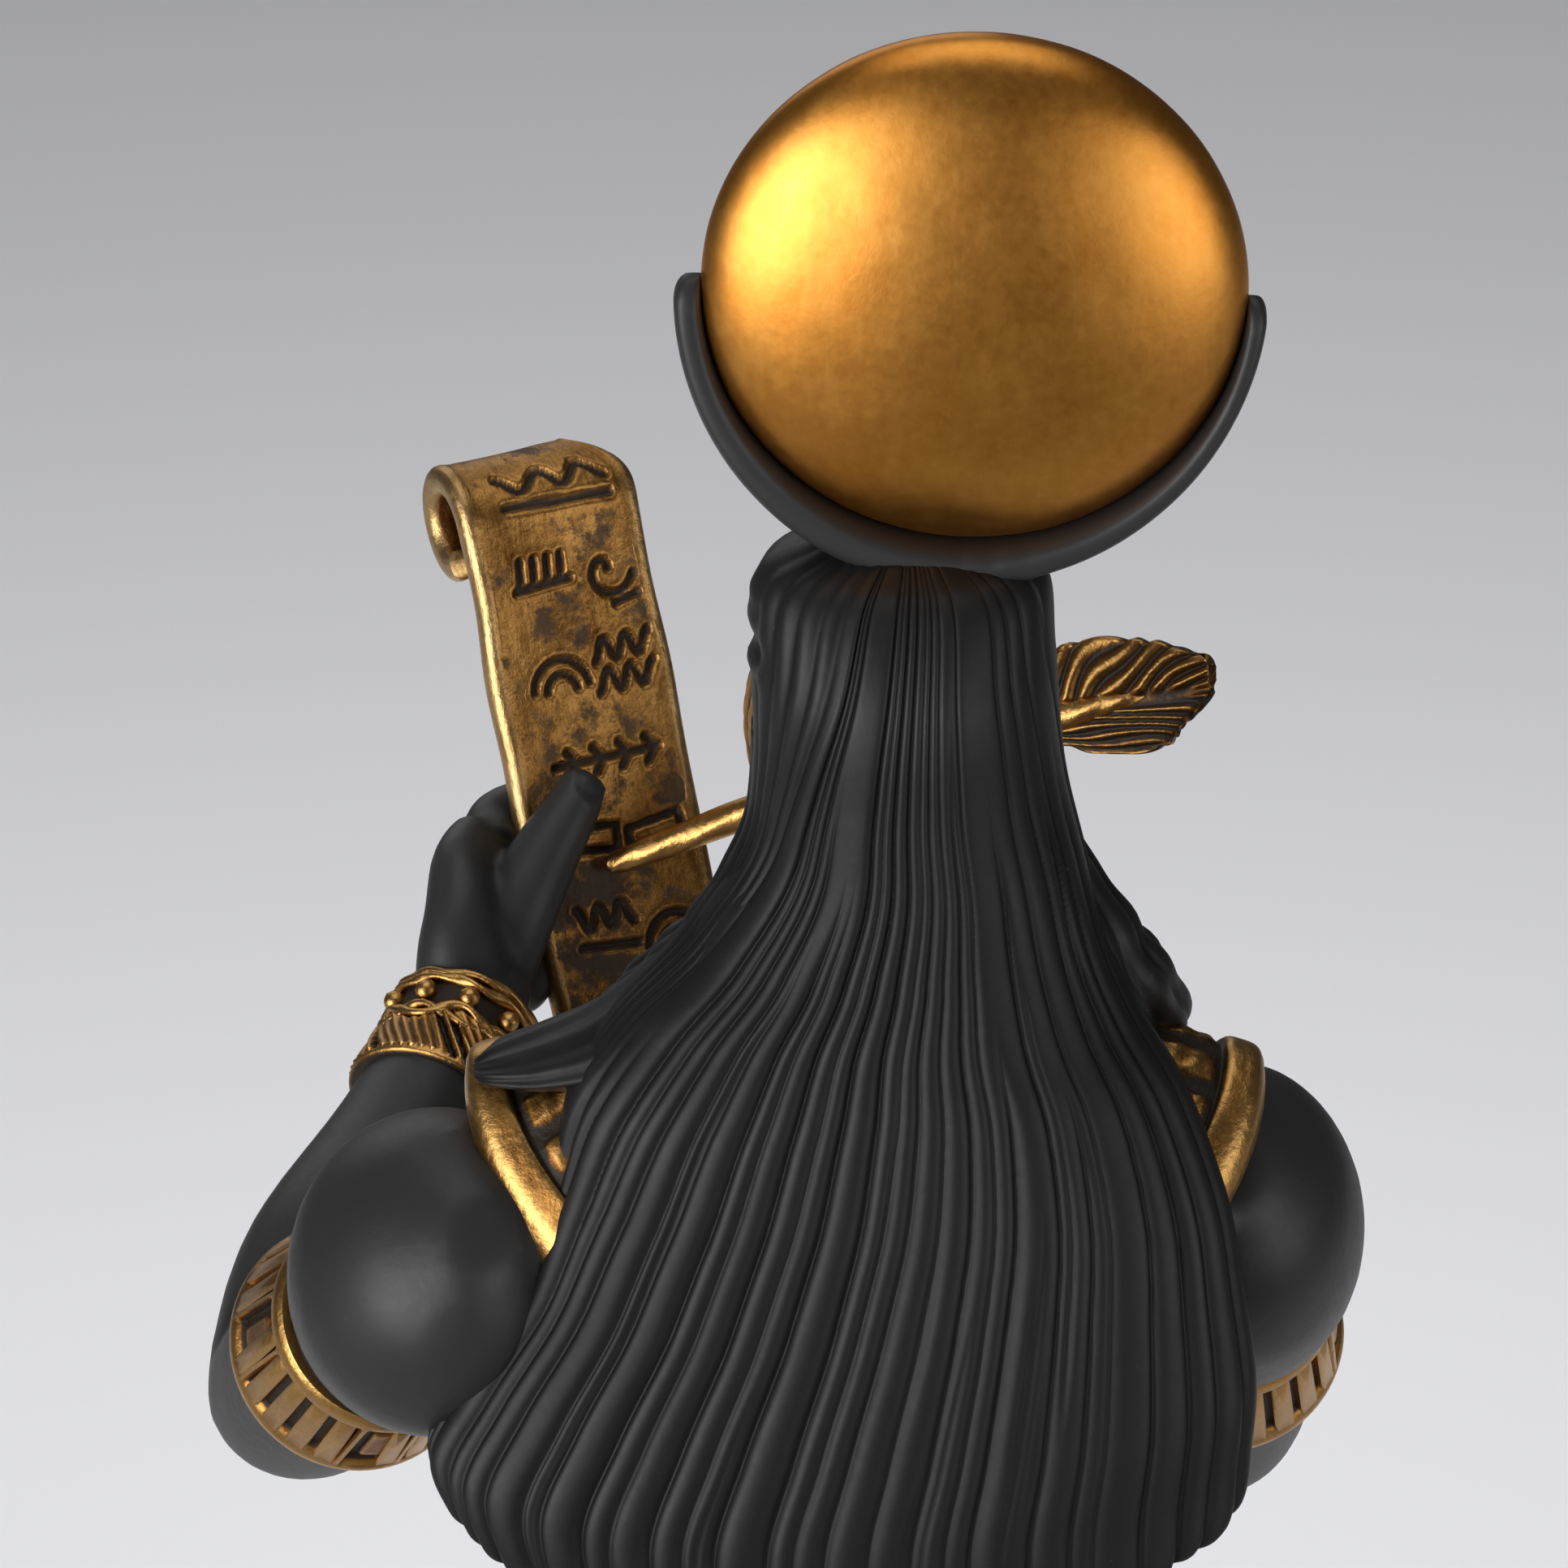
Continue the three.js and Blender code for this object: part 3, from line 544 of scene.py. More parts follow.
def scrollGoldFinish():  # gold brushed down the sheet, with black left in patches and strokes, and painted shade lower down
    look = Finish("scrollGold")
    hollow = look.mark("hollow")
    ink = look.mark("ink")
    down = look.node("ShaderNodeAttribute", {"attribute_name": "sheetPlace"}, take=1)
    streaked = look.node(
        "ShaderNodeVectorMath", {"operation": "MULTIPLY"}, {0: down, 1: (1.0, 0.16, 1.0)}
    )
    streak = look.noise(1500, 5, 0.7, streaked)
    patch = look.noise(170, 6, 0.72, down)
    grain = look.noise(1900, 4, 0.7)
    edge = look.mark("edge")
    # painted shade: low rises towards the bottom of the sheet, where it darkens the gold, spreads
    # the black patches and dims the edges
    low = look.span(look.node("ShaderNodeSeparateXYZ", sockets={0: down}, take=1), 0.004, -0.011)
    uneven = patch * 0.82 + streak * 0.18 + hollow * 0.5 - edge * 0.08 + low * 0.07
    soot = look.span(uneven, 0.505, 0.57)
    soot = look.node("ShaderNodeMath", {"operation": "MAXIMUM"}, {0: soot * 0.85, 1: ink})
    tone = look.span(streak * 0.3 + grain * 0.25 + look.noise(90, 4, 0.6) * 0.45, 0.38, 0.6)
    gold = look.blend(tone, (0.15, 0.06, 0.012, 1), (0.52, 0.275, 0.078, 1))
    gold = look.blend(low * 0.75, gold, (0.09, 0.04, 0.010, 1))
    gold = look.blend(edge * (0.2 + 0.5 * tone) * (1 - 0.6 * low), gold, (0.80, 0.56, 0.27, 1))
    base = look.blend(soot * 0.95, gold, (0.012, 0.010, 0.009, 1))
    sockets = {"Base Color": base, "Metallic": 1 - soot * 0.8}
    sockets["Roughness"] = 0.3 + grain * 0.15 + soot * 0.2
    height = streak * 0.6 + patch * 1.3 + grain * 0.4 - soot * 0.5
    return look.set({**sockets, "Normal": look.relief(height, 0.0002, 0.65)})


def paleFloorFinish():
    look = Finish("paleFloor")
    near = look.span(look.node("ShaderNodeSeparateXYZ", sockets={0: look.place}, take=1), 0.05, 0.4)
    shade = look.blend(look.noise(3, 2), (0.86, 0.86, 0.885, 1), (0.90, 0.90, 0.925, 1))
    shade = look.blend(near, shade, (0.5, 0.5, 0.51, 1))  # painted shade: greyer on the camera's side, so the gold reflects a darker floor there
    return look.set({"Base Color": shade, "Roughness": 0.75})


resin = blackResinFinish("blackResin", 1.0, 0.0105, 0.42)
# painted shade: the wig and its locks take a darker, less glossy copy of the same black resin, with
# their hollows counting more strongly
wigResin = blackResinFinish("wigResin", 1.3, 0.0052, 0.3)
trimGold = agedGoldFinish("trimGold", 0.0)
darkGold = agedGoldFinish("darkGold", 0.03, 0.85)
print("finishes ready")


# Body: torso, neck and arms to the wrists, run together into one skin

joints = {
    "shoulder": {"left": (28.3, 4, 212.4), "right": (-26.3, -3, 213)},
    "elbow": {"left": (38.6, -25.6, 186.4), "right": (-25, -31.2, 182.6)},
    "wrist": {"left": (26.8, -56.4, 199.9), "right": (-11.5, -58, 205)},
}
body = {"voxel": 0.95, "smoothing": 6, "chest": 1.1, "belly": 0.7}
upperArm = {  # part of the way from shoulder to elbow, then the two radii there
    "left": [
        (-0.27, 2.4, 3.4),
        (-0.16, 7.6, 8.8),
        (0, 10.4, 11.5),
        (0.14, 9.8, 10.8),
        (0.27, 8, 8.8),
        (0.38, 7, 7.4),
        (0.62, 7.5, 7.6),
        (1, 6.7, 6.3),
        (1.08, 4.4, 4.2),
    ],
    "right": [
        (-0.27, 2.4, 3.4),
        (-0.16, 7.2, 8.6),
        (0, 9.2, 10.6),
        (0.16, 9.4, 10.2),
        (0.3, 8.6, 9),
        (0.4, 7.4, 7.6),
        (0.62, 7.7, 8),
        (1, 6.6, 6.9),
        (1.1, 4.2, 4.6),
    ],
}
torsoStations = [
    (128, 0, 1, 15, 10),
    (138, 0, 1, 18.5, 12.5),
    (148, 0, 1.5, 18.5, 12.8),
    (158, 0, 0.8, 16, 11),
    (168, 0, 0, 15.6, 10.6),
    (178, 0, -0.3, 17.6, 11.8),
    (188, 0.2, -0.6, 20.8, 13.2),
    (198, 0.4, -0.6, 24, 14),
    (208, 0.6, 0, 25.5, 13),
    (218, 0.6, 1, 23.5, 10.2),
    (225, 0, 1.6, 15.5, 7.8),
    (231, -0.8, 1.4, 8.6, 6.8),
    (238, -1.6, 0.6, 6.6, 6.4),
    (250, -3, -1.5, 6.4, 6.4),
]


def muscles(angle, t):  # chest, midline and belly on the front, the spine's furrow behind
    z = along(torsoStations, t.ravel())[:, 0].reshape(t.shape)
    turn = (angle - 1.5 * math.pi + math.pi) % (2 * math.pi) - math.pi
    chest = bump(z, 203, 13, 9) * np.exp(-(((np.abs(turn) - 0.55) / 0.42) ** 2))
    fold = np.exp(-(((z - 190.5) / 1.6) ** 2)) * bump(turn, 0, 1.0, 0.4)
    rows = 0.5 + 0.5 * np.cos((z - 164) / 8.4 * 2 * math.pi)
    belly = bump(z, 176, 14, 5) * bump(turn, 0, 0.62, 0.3) * (0.4 + 0.6 * rows)
    midline = np.exp(-((turn / 0.07) ** 2)) * ease(160, 166, z) * (1 - ease(202, 210, z))
    spine = np.exp(-(((np.abs(turn) - math.pi) / 0.12) ** 2)) * (1 - ease(205, 215, z))
    return body["chest"] * (chest - 0.5 * fold) + body["belly"] * (belly - midline - spine)


def armShells(side):
    s, e, w = (np.array(joints[name][side]) for name in ("shoulder", "elbow", "wrist"))
    yoke = limb(
        [
            (s[0] * 0.1, 2, 227, 5, 5),
            (s[0] * 0.45, 4.6, 220.5, 6, 5.4),
            (s[0] * 0.85, 4, s[2] + 0.6, 7, 7),
        ],
        (0, 1, 0),
    )
    upper = limb([(*mix(s, e, part), *radii) for part, *radii in upperArm[side]], (1, 0, 0))
    fore = limb(
        [
            (*mix(e, w, -0.12), 4.2, 4.6),
            (*e, 6.2, 6.8),
            (*mix(e, w, 0.3), 8.0, 8.0),
            (*mix(e, w, 0.65), 6.3, 5.7),
            (*w, 4.4, 4),
            (*mix(e, w, 1.12), 4.4, 3.6),
        ],
        (0, 0, 1),
    )
    return [yoke, upper, fore]


def makeBody():
    shells = [stack(torsoStations, 90, 90, 2.3, muscles)]
    piece = makePiece("torsoAndArms", shells + armShells("left") + armShells("right"), resin)
    fuse(piece, body["voxel"], body["smoothing"])
    settle(piece, 3)


makeBody()


# Hands: each is shells run together, and a nail is pressed into the left thumb

scroll = {
    "centre": (16.9, -68, 207.5),
    "width": 13.6,
    "thickness": 2,
    "up": 23.7,
    "down": 34,
    "topCurl": (3.8, 0.8),
    "footCurl": (3.0, 0.7),
    "across": (0.925, 0.379, -0.031),
    "along": (0.186, -0.379, 0.907),
}
scrollAlong = unit(scroll["along"])
scrollAcross = unit(scroll["across"])
scrollAcross = unit(scrollAcross - (scrollAcross @ scrollAlong) * scrollAlong)
scrollFacing = np.cross(scrollAlong, scrollAcross)
hands = {"voxel": 0.41, "smoothing": 4, "nailDepth": 0.22, "fingerRadius": 2.1}
leftThumb = [(11.4, -7.4, 2), (8.8, -3.2, 2.7), (5.8, 0.4, 2.6), (3.4, 2.9, 2.5), (1.9, 4.7, 2.4)]


def byScroll(across, up, out):
    place = scrollAcross * across + scrollAlong * up + scrollFacing * out
    return tuple(place + scroll["centre"])


def finger(points, radii, side=(0.3, 0.2, 1)):  # through its joints, with a rounded end
    points = [np.array(p, float) for p in points]
    radii = np.interp(np.linspace(0, 1, len(points)), np.linspace(0, 1, len(radii)), radii)
    stations = [(*p, r, r) for p, r in zip(points, radii)]
    stations.append((*mix(points[-2], points[-1], 1.16), radii[-1] * 0.93, radii[-1] * 0.9))
    stations.append((*mix(points[-2], points[-1], 1.36), radii[-1] * 0.42, radii[-1] * 0.4))
    return limb(stations, side, 20, 36)


def pressNail(piece, middle, outward, ahead, halfWidth, halfLength):
    points = readPoints(piece.data)
    outward, ahead = unit(outward), unit(ahead)
    beside = np.cross(outward, ahead)
    offset = points - middle
    x, y, out = offset @ beside / halfWidth, offset @ ahead / halfLength, offset @ outward
    reach = (np.abs(x) ** 2.6 + np.abs(y) ** 2.6) ** (1 / 2.6)
    bed = (1 - ease(0.86, 1.06, reach)) * (np.abs(out) < 2)
    rim = np.exp(-(((reach - 1.16) / 0.12) ** 2)) * (np.abs(out) < 2)
    points -= np.outer(hands["nailDepth"] * (bed - 0.4 * rim), outward)
    movePoints(piece.data, points)


def leftHandShells():
    palm = limb(
        [
            (*mix(joints["elbow"]["left"], joints["wrist"]["left"], 0.9), 4.3, 3.8),
            (*joints["wrist"]["left"], 4.4, 3.8),
            (*byScroll(12, -5.2, 1.8), 5.4, 3.5),
            (*byScroll(10.4, -2.6, -0.4), 6, 3.1),
            (*byScroll(8.4, -1.6, -2.6), 5.8, 2.8),
        ],
        scroll["along"],
    )
    shells = [palm]
    for i, (knuckle, reach) in enumerate(((8.2, 0.6), (9.6, -0.8), (10.4, -0.4), (10.4, 1.4))):
        up = 3.4 - 3.4 * i
        points = [
            byScroll(knuckle, up - 2.2, -1.0),
            byScroll(knuckle - 1.2, up - 0.6, -3.4),
            byScroll(4, up, -3.4),
            byScroll(-1 + reach, up - 0.4, -3.1),
        ]
        radius = hands["fingerRadius"] - 0.05 * i
        shells.append(finger(points, (radius, radius * 0.98, radius * 0.94, radius * 0.84)))
    shells.append(finger([byScroll(*p) for p in leftThumb], (3.0, 2.9, 2.45, 2.05, 1.65)))
    heel = [byScroll(*p) for p in ((11.2, -5.6, 0.4), (9, -7.4, -1.2), (7, -8.8, -1.8))]
    shells.append(finger(heel, (3.2, 2.9, 2.3)))
    return shells


def rightHandShells():
    palm = limb(
        [
            (*mix(joints["elbow"]["right"], joints["wrist"]["right"], 0.9), 4.3, 3.8),
            (*joints["wrist"]["right"], 4.4, 3.8),
            (-10.2, -59.4, 208, 5.4, 3.5),
            (-8.6, -61.6, 211.6, 6.2, 3.6),
            (-7.4, -64, 213, 5.8, 3.6),
        ],
        (1, -0.6, 0),
    )
    index = [(-11, -62.6, 213.4), (-8.4, -65.6, 217.6), (-4, -65.4, 218.2), (0.2, -64.8, 216.4)]
    thumb = [(-8, -57.4, 207.6), (-4.6, -57.2, 211), (-2, -58.8, 214), (-0.4, -60.4, 215)]
    shells = [palm, finger(index, (2.1, 2, 1.9, 1.7)), finger(thumb, (2.5, 2.2, 1.9, 1.8))]
    for i in range(3):
        points = [
            (-8 + 1.6 * i, -63.8, 213.6 - 1.8 * i),
            (-4.6 + 1.2 * i, -66.6, 213.6 - 2.2 * i),
            (-2 + i, -64.6, 211.6 - 2.4 * i),
            (-4 + i, -61.6, 210.4 - 2.2 * i),
        ]
        shells.append(finger(points, (2.05, 2, 1.9, 1.75)))
    return shells


def makeHands():
    left, right = (
        fuse(makePiece(name, shells, resin), hands["voxel"], hands["smoothing"])
        for name, shells in (("leftHand", leftHandShells()), ("rightHand", rightHandShells()))
    )
    ahead = np.subtract(byScroll(*leftThumb[-1]), byScroll(*leftThumb[-2]))
    outward = scrollFacing - 0.25 * scrollAcross
    pressNail(left, byScroll(1.8, 4.8, 4.0), outward, ahead, 1.1, 1.3)
    for piece in (left, right):
        settle(piece, 1.5)


makeHands()


# Legs and feet, the left foot a pace in front

legs = {"voxel": 0.88, "smoothing": 5, "soleZ": 12.3, "turnOut": 2.4}


def legShells(sign):
    stride, kneeY = (-14, -12) if sign > 0 else (7, 2)
    shank = limb(
        [
            (8.6 * sign, 0, 142, 8, 8),
            (9.4 * sign, kneeY * 0.35 - 1, 122, 9.4, 10),
            (10.4 * sign, kneeY * 0.75, 102, 9.2, 9.8),
            (11 * sign, kneeY, 85, 7.4, 8),
            (11.2 * sign, kneeY * 0.7 + stride * 0.3 + 1.5, 68, 7.6, 8.2),
            (11.2 * sign, kneeY * 0.35 + stride * 0.65 + 1, 47, 6, 6.4),
            (11.2 * sign, stride, 28, 4.6, 5),
            (11.4 * sign, stride + 0.4, 20, 4.8, 5.8),
        ],
        (1, 0, 0),
        40,
        70,
    )
    turnOut, x = legs["turnOut"] * sign, 11.2 * sign
    stations = [
        (x - turnOut * 0.3, stride + 8, 3.4, 5.5),
        (x - turnOut * 0.2, stride + 5.5, 4.8, 9),
        (x, stride - 1, 5.2, 12),
        (x + turnOut * 0.3, stride - 11, 5.8, 8.4),
        (x + turnOut * 0.7, stride - 19, 6.6, 5.4),
        (x + turnOut, stride - 23, 6.2, 4),
    ]
    rows = along(stations, np.linspace(0, 1, 40))
    angle = roundAngles(40)
    rise = (np.maximum(np.sin(angle), -0.25) + 0.25) / 1.25
    rings = np.stack(
        [
            rows[:, :1] + rows[:, 2:3] * np.cos(angle),
            np.repeat(rows[:, 1:2], 40, axis=1),
            legs["soleZ"] + rows[:, 3:4] * rise,
        ],
        axis=-1,
    )
    shells = [shank, closedSkin(rings)]
    for toe in range(5):  # from the big toe out
        out = (toe - 1.9) * 2.75 * sign + x + turnOut * 1.1
        radius = 1.95 if toe == 0 else 1.45 - 0.08 * toe
        front = stride - 28.2 + (0, -0.4, 0.5, 1.7, 3.2)[toe]
        height = legs["soleZ"] + radius
        shells.append(
            limb(
                [
                    (out - 0.2 * sign, front + 8, height + 1.2, radius, radius * 1.1),
                    (out, front + 4.6, height + 0.9, radius, radius),
                    (out, front + 2, height, radius * 1.06, radius),
                    (out, front + 0.6, height - 0.2, radius * 0.8, radius * 0.75),
                    (out, front, height - 0.3, radius * 0.3, radius * 0.3),
                ],
                (1, 0, 0),
                16,
                16,
            )
        )
    return shells


def makeLegs():
    for name, sign in (("leftLeg", 1), ("rightLeg", -1)):
        piece = fuse(makePiece(name, legShells(sign), resin), legs["voxel"], legs["smoothing"])
        points = readPoints(piece.data)
        points[:, 2] = np.maximum(points[:, 2], legs["soleZ"] - 0.2)
        movePoints(piece.data, points)
        settle(piece, 2)


makeLegs()


# Kilt with pressed pleats, belt and apron

kilt = {"pleats": 40, "depth": 0.75, "beltStuds": 26, "apronBars": 15}
kiltStations = [
    (163, 0, 0, 16.4, 11.6),
    (152, 0, 0.6, 19.8, 14.2),
    (138, 0, 0, 21.4, 15.6),
    (122, 0, -1.6, 22.4, 17),
    (106, 0, -3.4, 23.6, 18.6),
    (94, 0, -4.4, 24.6, 19.8),
]


def pleats(angle, t):  # overlapping folds: a slow rise, then a step back
    place = (angle * kilt["pleats"] / (2 * math.pi)) % 1
    fold = ease(0, 0.82, place) - ease(0.82, 1, place)
    hem = bump(t, 0.965, 0.012, 0.008)
    return kilt["depth"] * (fold - 0.6) * ease(0, 0.2, t) + 0.3 * hem - 0.6 * ease(0.985, 1, t)


def beltRelief(angle, t):
    rims = bump(t, 0.1, 0.1, 0.05) + bump(t, 0.9, 0.1, 0.05)
    cells = (angle * kilt["beltStuds"] / (2 * math.pi)) % 1
    return 0.35 * rims + 0.3 * bump(cells, 0.5, 0.34, 0.1) * bump(t, 0.5, 0.26, 0.08)


def apronRelief(angle, t):
    front = ease(0.1, 0.5, -np.sin(angle))
    bars = (t * kilt["apronBars"]) % 1
    frameLine = bump(np.abs(np.cos(angle)), 0.86, 0.14, 0.05)
    cell = bump(bars, 0.5, 0.36, 0.1) * (1 - frameLine)
    split = np.exp(-((np.cos(angle) / 0.06) ** 2))
    return front * (0.45 * frameLine + 0.4 * cell * (1 - 0.8 * split))


def makeKilt():
    cloth = makePiece("kilt", [stack(kiltStations, 440, 76, 2.3, pleats)], darkGold)
    belt = stack(
        [
            (157.5, 0, 0.3, 18.3, 12.9),
            (160, 0, 0.2, 18.1, 12.7),
            (162.5, 0, 0, 17.6, 12.4),
            (165, 0, 0, 17.1, 12),
        ],
        400,
        26,
        2.3,
        beltRelief,
    )
    apron = stack(
        [
            (160, 0, -12.6, 4.6, 2),
            (140, 0, -16, 6, 2),
            (118, 0, -19.6, 7.4, 2),
            (98, 0, -23.2, 8.6, 2.1),
        ],
        110,
        154,
        5,
        apronRelief,
    )
    trim = makePiece("beltAndApron", [belt, apron], trimGold)
    for piece in (cloth, trim):
        settle(piece, 1.6)


makeKilt()


# Broad collar: rows of drops and bars between raised lines, laid over the shoulders

collar = {
    "x": -0.9,
    "inner": 7.2,
    "reach": 27.2,
    "front": (16.8, 26),
    "back": (16, 23),
    "side": 5.5,
    "panels": 34,
    "bars": 58,
    "columns": 480,
}


def onCollar(angle, share, lift):
    c, n = np.cos(angle), np.sin(angle)
    square = np.sign(n) * np.abs(n) ** 0.8
    toFront = n < 0
    reachY = np.where(toFront, collar["front"][0], collar["back"][0])
    fallMost = np.where(toFront, collar["front"][1], collar["back"][1])
    x = collar["x"] + mix(collar["inner"], collar["reach"], share) * c
    y = 0.6 + mix(collar["inner"] - 0.9, reachY, share**0.7) * square
    fall = mix(collar["side"], fallMost, np.abs(n) ** 1.4) * share**1.25
    return np.stack([x, y, 231.4 - fall + lift], axis=-1)


def collarRelief(angle, share):
    turns = angle / (2 * math.pi)
    height = 0.5 * (bump(share, 0.22, 0.02, 0.012) + bump(share, 0.41, 0.02, 0.012))
    height += 0.5 * bump(share, 0.58, 0.02, 0.012)
    height += 0.95 * np.clip(1 - ((share - 0.95) / 0.07) ** 4, 0, 1) ** 0.6
    bar = (turns * collar["bars"]) % 1
    height += 0.5 * bump(bar, 0.5, 0.38, 0.12) * bump(share, 0.315, 0.08, 0.02)
    bar = (turns * collar["bars"] + 0.5) % 1
    width = 0.32 + 0.12 * np.cos((share - 0.495) / 0.07 * math.pi)
    drop = 1 - ease(width - 0.14, width, np.abs(bar - 0.5))
    height += 0.55 * drop * bump(share, 0.495, 0.066, 0.02)
    panel = (turns * collar["panels"]) % 1 - 0.5
    inside = bump(panel, 0, 0.41, 0.13) * bump(share, 0.74, 0.132, 0.035)
    crown = 1 - 0.35 * np.abs(panel / 0.4) - 0.25 * np.abs((share - 0.74) / 0.13)
    uneven = 0.22 * np.sin(turns * 97 + share * 31) * np.sin(turns * 211 - share * 47)
    return height + 0.6 * inside * (crown + uneven)


def makeCollar():
    angle = roundAngles(collar["columns"])
    share = np.concatenate([np.linspace(0.02, 0.87, 62), np.linspace(0.878, 1.02, 14)])
    angles, shares = np.meshgrid(angle, share)
    height = collarRelief(angles, shares)
    rings = list(onCollar(angles, shares, 0.75 + height))
    for reach, drop in ((1.025, -0.5), (1.0, -1.5), (0.7, -4), (0.3, -7)):
        rings.append(onCollar(angle, np.full_like(angle, reach), drop))
    paint = (1 - ease(0.08, 0.3, height) * 0.85) * (shares < 0.9)
    paint = np.concatenate([paint.ravel(), np.zeros(4 * collar["columns"] + 2)])
    piece = makePiece("broadCollar", [closedSkin(rings)], trimGold, paint=paint)
    settle(piece, 1.2)


makeCollar()


# Bands: an armlet of bars and squares on each arm, a beaded cuff on each wrist

armlet = {
    "span": (0.37, 0.64),
    "radius": (7.3, 8.2),
    "rim": 0.75,
    "bars": 24,
    "barWidth": 1.5,
    "run": 4,
    "gap": 2,
    "slant": 0.05,
}
cuff = {
    "span": (0.755, 0.99),
    "radius": (5.6, 5.0),
    "beads": 10,
    "beadRadius": 0.8,
    "fans": 5,
    "lean": 0.8,
    "wire": 0.37,
}


def bandFrame(side, upper, lower, span):  # its start and directions, and the band's length
    a, b = (np.array(joints[name][side], float) for name in (upper, lower))
    start, end = mix(a, b, span[0]), mix(a, b, span[1])
    axis = unit(end - start)
    across = unit(np.cross(axis, (0, 0, 1)))
    return (start, axis, across, np.cross(axis, across)), float(np.linalg.norm(end - start))


def onBand(frameOf, points):  # x and y across the limb, z along it
    origin, axis, across, other = frameOf
    return origin + points[:, :1] * across + points[:, 1:2] * other + points[:, 2:3] * axis


def sleeve(frameOf, length, radiusAt, relief, columns, rows, wall=2.0):
    angles, shares = np.meshgrid(roundAngles(columns), np.linspace(0, 1, rows))
    height = relief(angles, shares)
    radius = radiusAt(shares) + height
    outer = np.stack([radius * np.cos(angles), radius * np.sin(angles), shares * length], axis=-1)
    inner = outer[::-1][[0, rows // 2, -1]].copy()
    scale = (radiusAt(shares[::-1][[0, rows // 2, -1]]) - wall)[..., None]
    inner[..., :2] = unit(inner[..., :2]) * scale
    points, faces = ringSkin(np.concatenate([outer, inner]))
    black = np.concatenate([(1 - ease(0.08, 0.24, height)).ravel(), np.ones(3 * columns)])
    return (onBand(frameOf, points), faces), black


def makeBand(name, shells, black, crease, reach):  # paint lies on the sleeve alone
    bare = sum(len(points) for points, _ in shells) - len(black)
    paint = np.concatenate([black, np.zeros(bare)])
    settle(makePiece(name, shells, trimGold, crease, paint), reach)


def makeArmlet(side):
    frameOf, length = bandFrame(side, "shoulder", "elbow", armlet["span"])
    rim, step = armlet["rim"], armlet["run"] + armlet["gap"]

    def relief(angle, t):
        rims = np.clip(1 - ((np.abs(t - 0.5) - 0.41) / 0.1) ** 2, 0, 1) ** 0.4
        place = (angle / (2 * math.pi) * armlet["bars"]) % step - (armlet["gap"] - 1) / 2
        place = np.where(place > step / 2, place - step, place)
        square = bump(place, 0, 0.52, 0.12) * bump(t, 0.5, 0.24, 0.05)
        edges = bump(np.abs(place), 0.98, 0.16, 0.08) * bump(t, 0.5, 0.42, 0.03)
        return rim * np.maximum(rims, edges) + 0.4 * square

    def flared(t):
        return mix(*armlet["radius"], t)

    shell, black = sleeve(frameOf, length, flared, relief, 360, 40)
    bar = roundedBlock((rim * 2, armlet["barWidth"], length * 0.8), 0.14)
    pattern = [armlet[name] for name in ("bars", "slant", "run", "gap")]
    bars, faces = ringOf(bar, flared(0.5) - 0.08, trimGold, *pattern)
    bars[:, :2] += unit(bars[:, :2]) * (flared(bars[:, 2:] / length) - flared(0))
    shells = [shell, (onBand(frameOf, bars + [0, 0, length / 2]), faces)]
    makeBand(side + "Armlet", shells, black, 40, 0.9)


def makeCuff(side):
    frameOf, length = bandFrame(side, "elbow", "wrist", cuff["span"])

    def radiusAt(t):
        return mix(cuff["radius"][0], cuff["radius"][1], ease(0, 0.6, t))

    def waveAt(angle):  # where the wires swing between the fans and the beads
        return 0.54 + 0.08 * np.cos(angle * cuff["fans"])

    def relief(angle, t):
        place = (angle / (2 * math.pi) * cuff["fans"] + cuff["lean"] * (t - 0.3)) % 1 - 0.5
        inFan = ease(0.07, 0.09, t) * (1 - ease(-0.04, 0.0, t - waveAt(angle)))
        ribs = 0.5 + 0.5 * np.cos(place * (1.25 - 0.6 * t) * 2 * math.pi * 8)
        fan = inFan * (0.34 + 0.18 * ribs) * bump(place, 0, 0.4, 0.02)
        fromGap = (0.5 - np.abs(place)) / 0.042
        rod = inFan * 0.62 * np.clip(1 - fromGap**2, 0, 1) ** 0.5
        rim = 0.42 * np.clip(1 - ((t - 0.045) / 0.045) ** 2, 0, 1) ** 0.5
        return rim + fan + rod

    shell, black = sleeve(frameOf, length, radiusAt, relief, 360, 50)
    beads, faces = ringOf(
        bead(cuff["beadRadius"]), cuff["radius"][1] + 0.3, trimGold, cuff["beads"]
    )
    shells = [shell, (onBand(frameOf, beads + [0, 0, length * 0.75]), faces)]
    angle = roundAngles(110)
    uneven = 0.012 * np.sin(angle * 3 + 1) + 0.008 * np.sin(angle * 7)
    courses = ((0.9 + uneven, 0.18), (0.985 - uneven, 0.1), (waveAt(angle) + 0.03, 0.2))
    courses += ((0.54 - 0.06 * np.cos(angle * cuff["fans"]) + uneven, 0.14),)
    for share, grow in courses:
        out = radiusAt(share) + grow
        ring = np.stack([out * np.cos(angle), out * np.sin(angle), share * length], axis=-1)
        shells.append(cordOn(onBand(frameOf, ring), cuff["wire"], trimGold, 5, 2, 0.2))
    makeBand(side + "Cuff", shells, black, 50, 0.8)


for side in ("left", "right"):
    makeArmlet(side)
    makeCuff(side)


# Wig: strands that fan from the crown, two locks in front and hair over the left shoulder

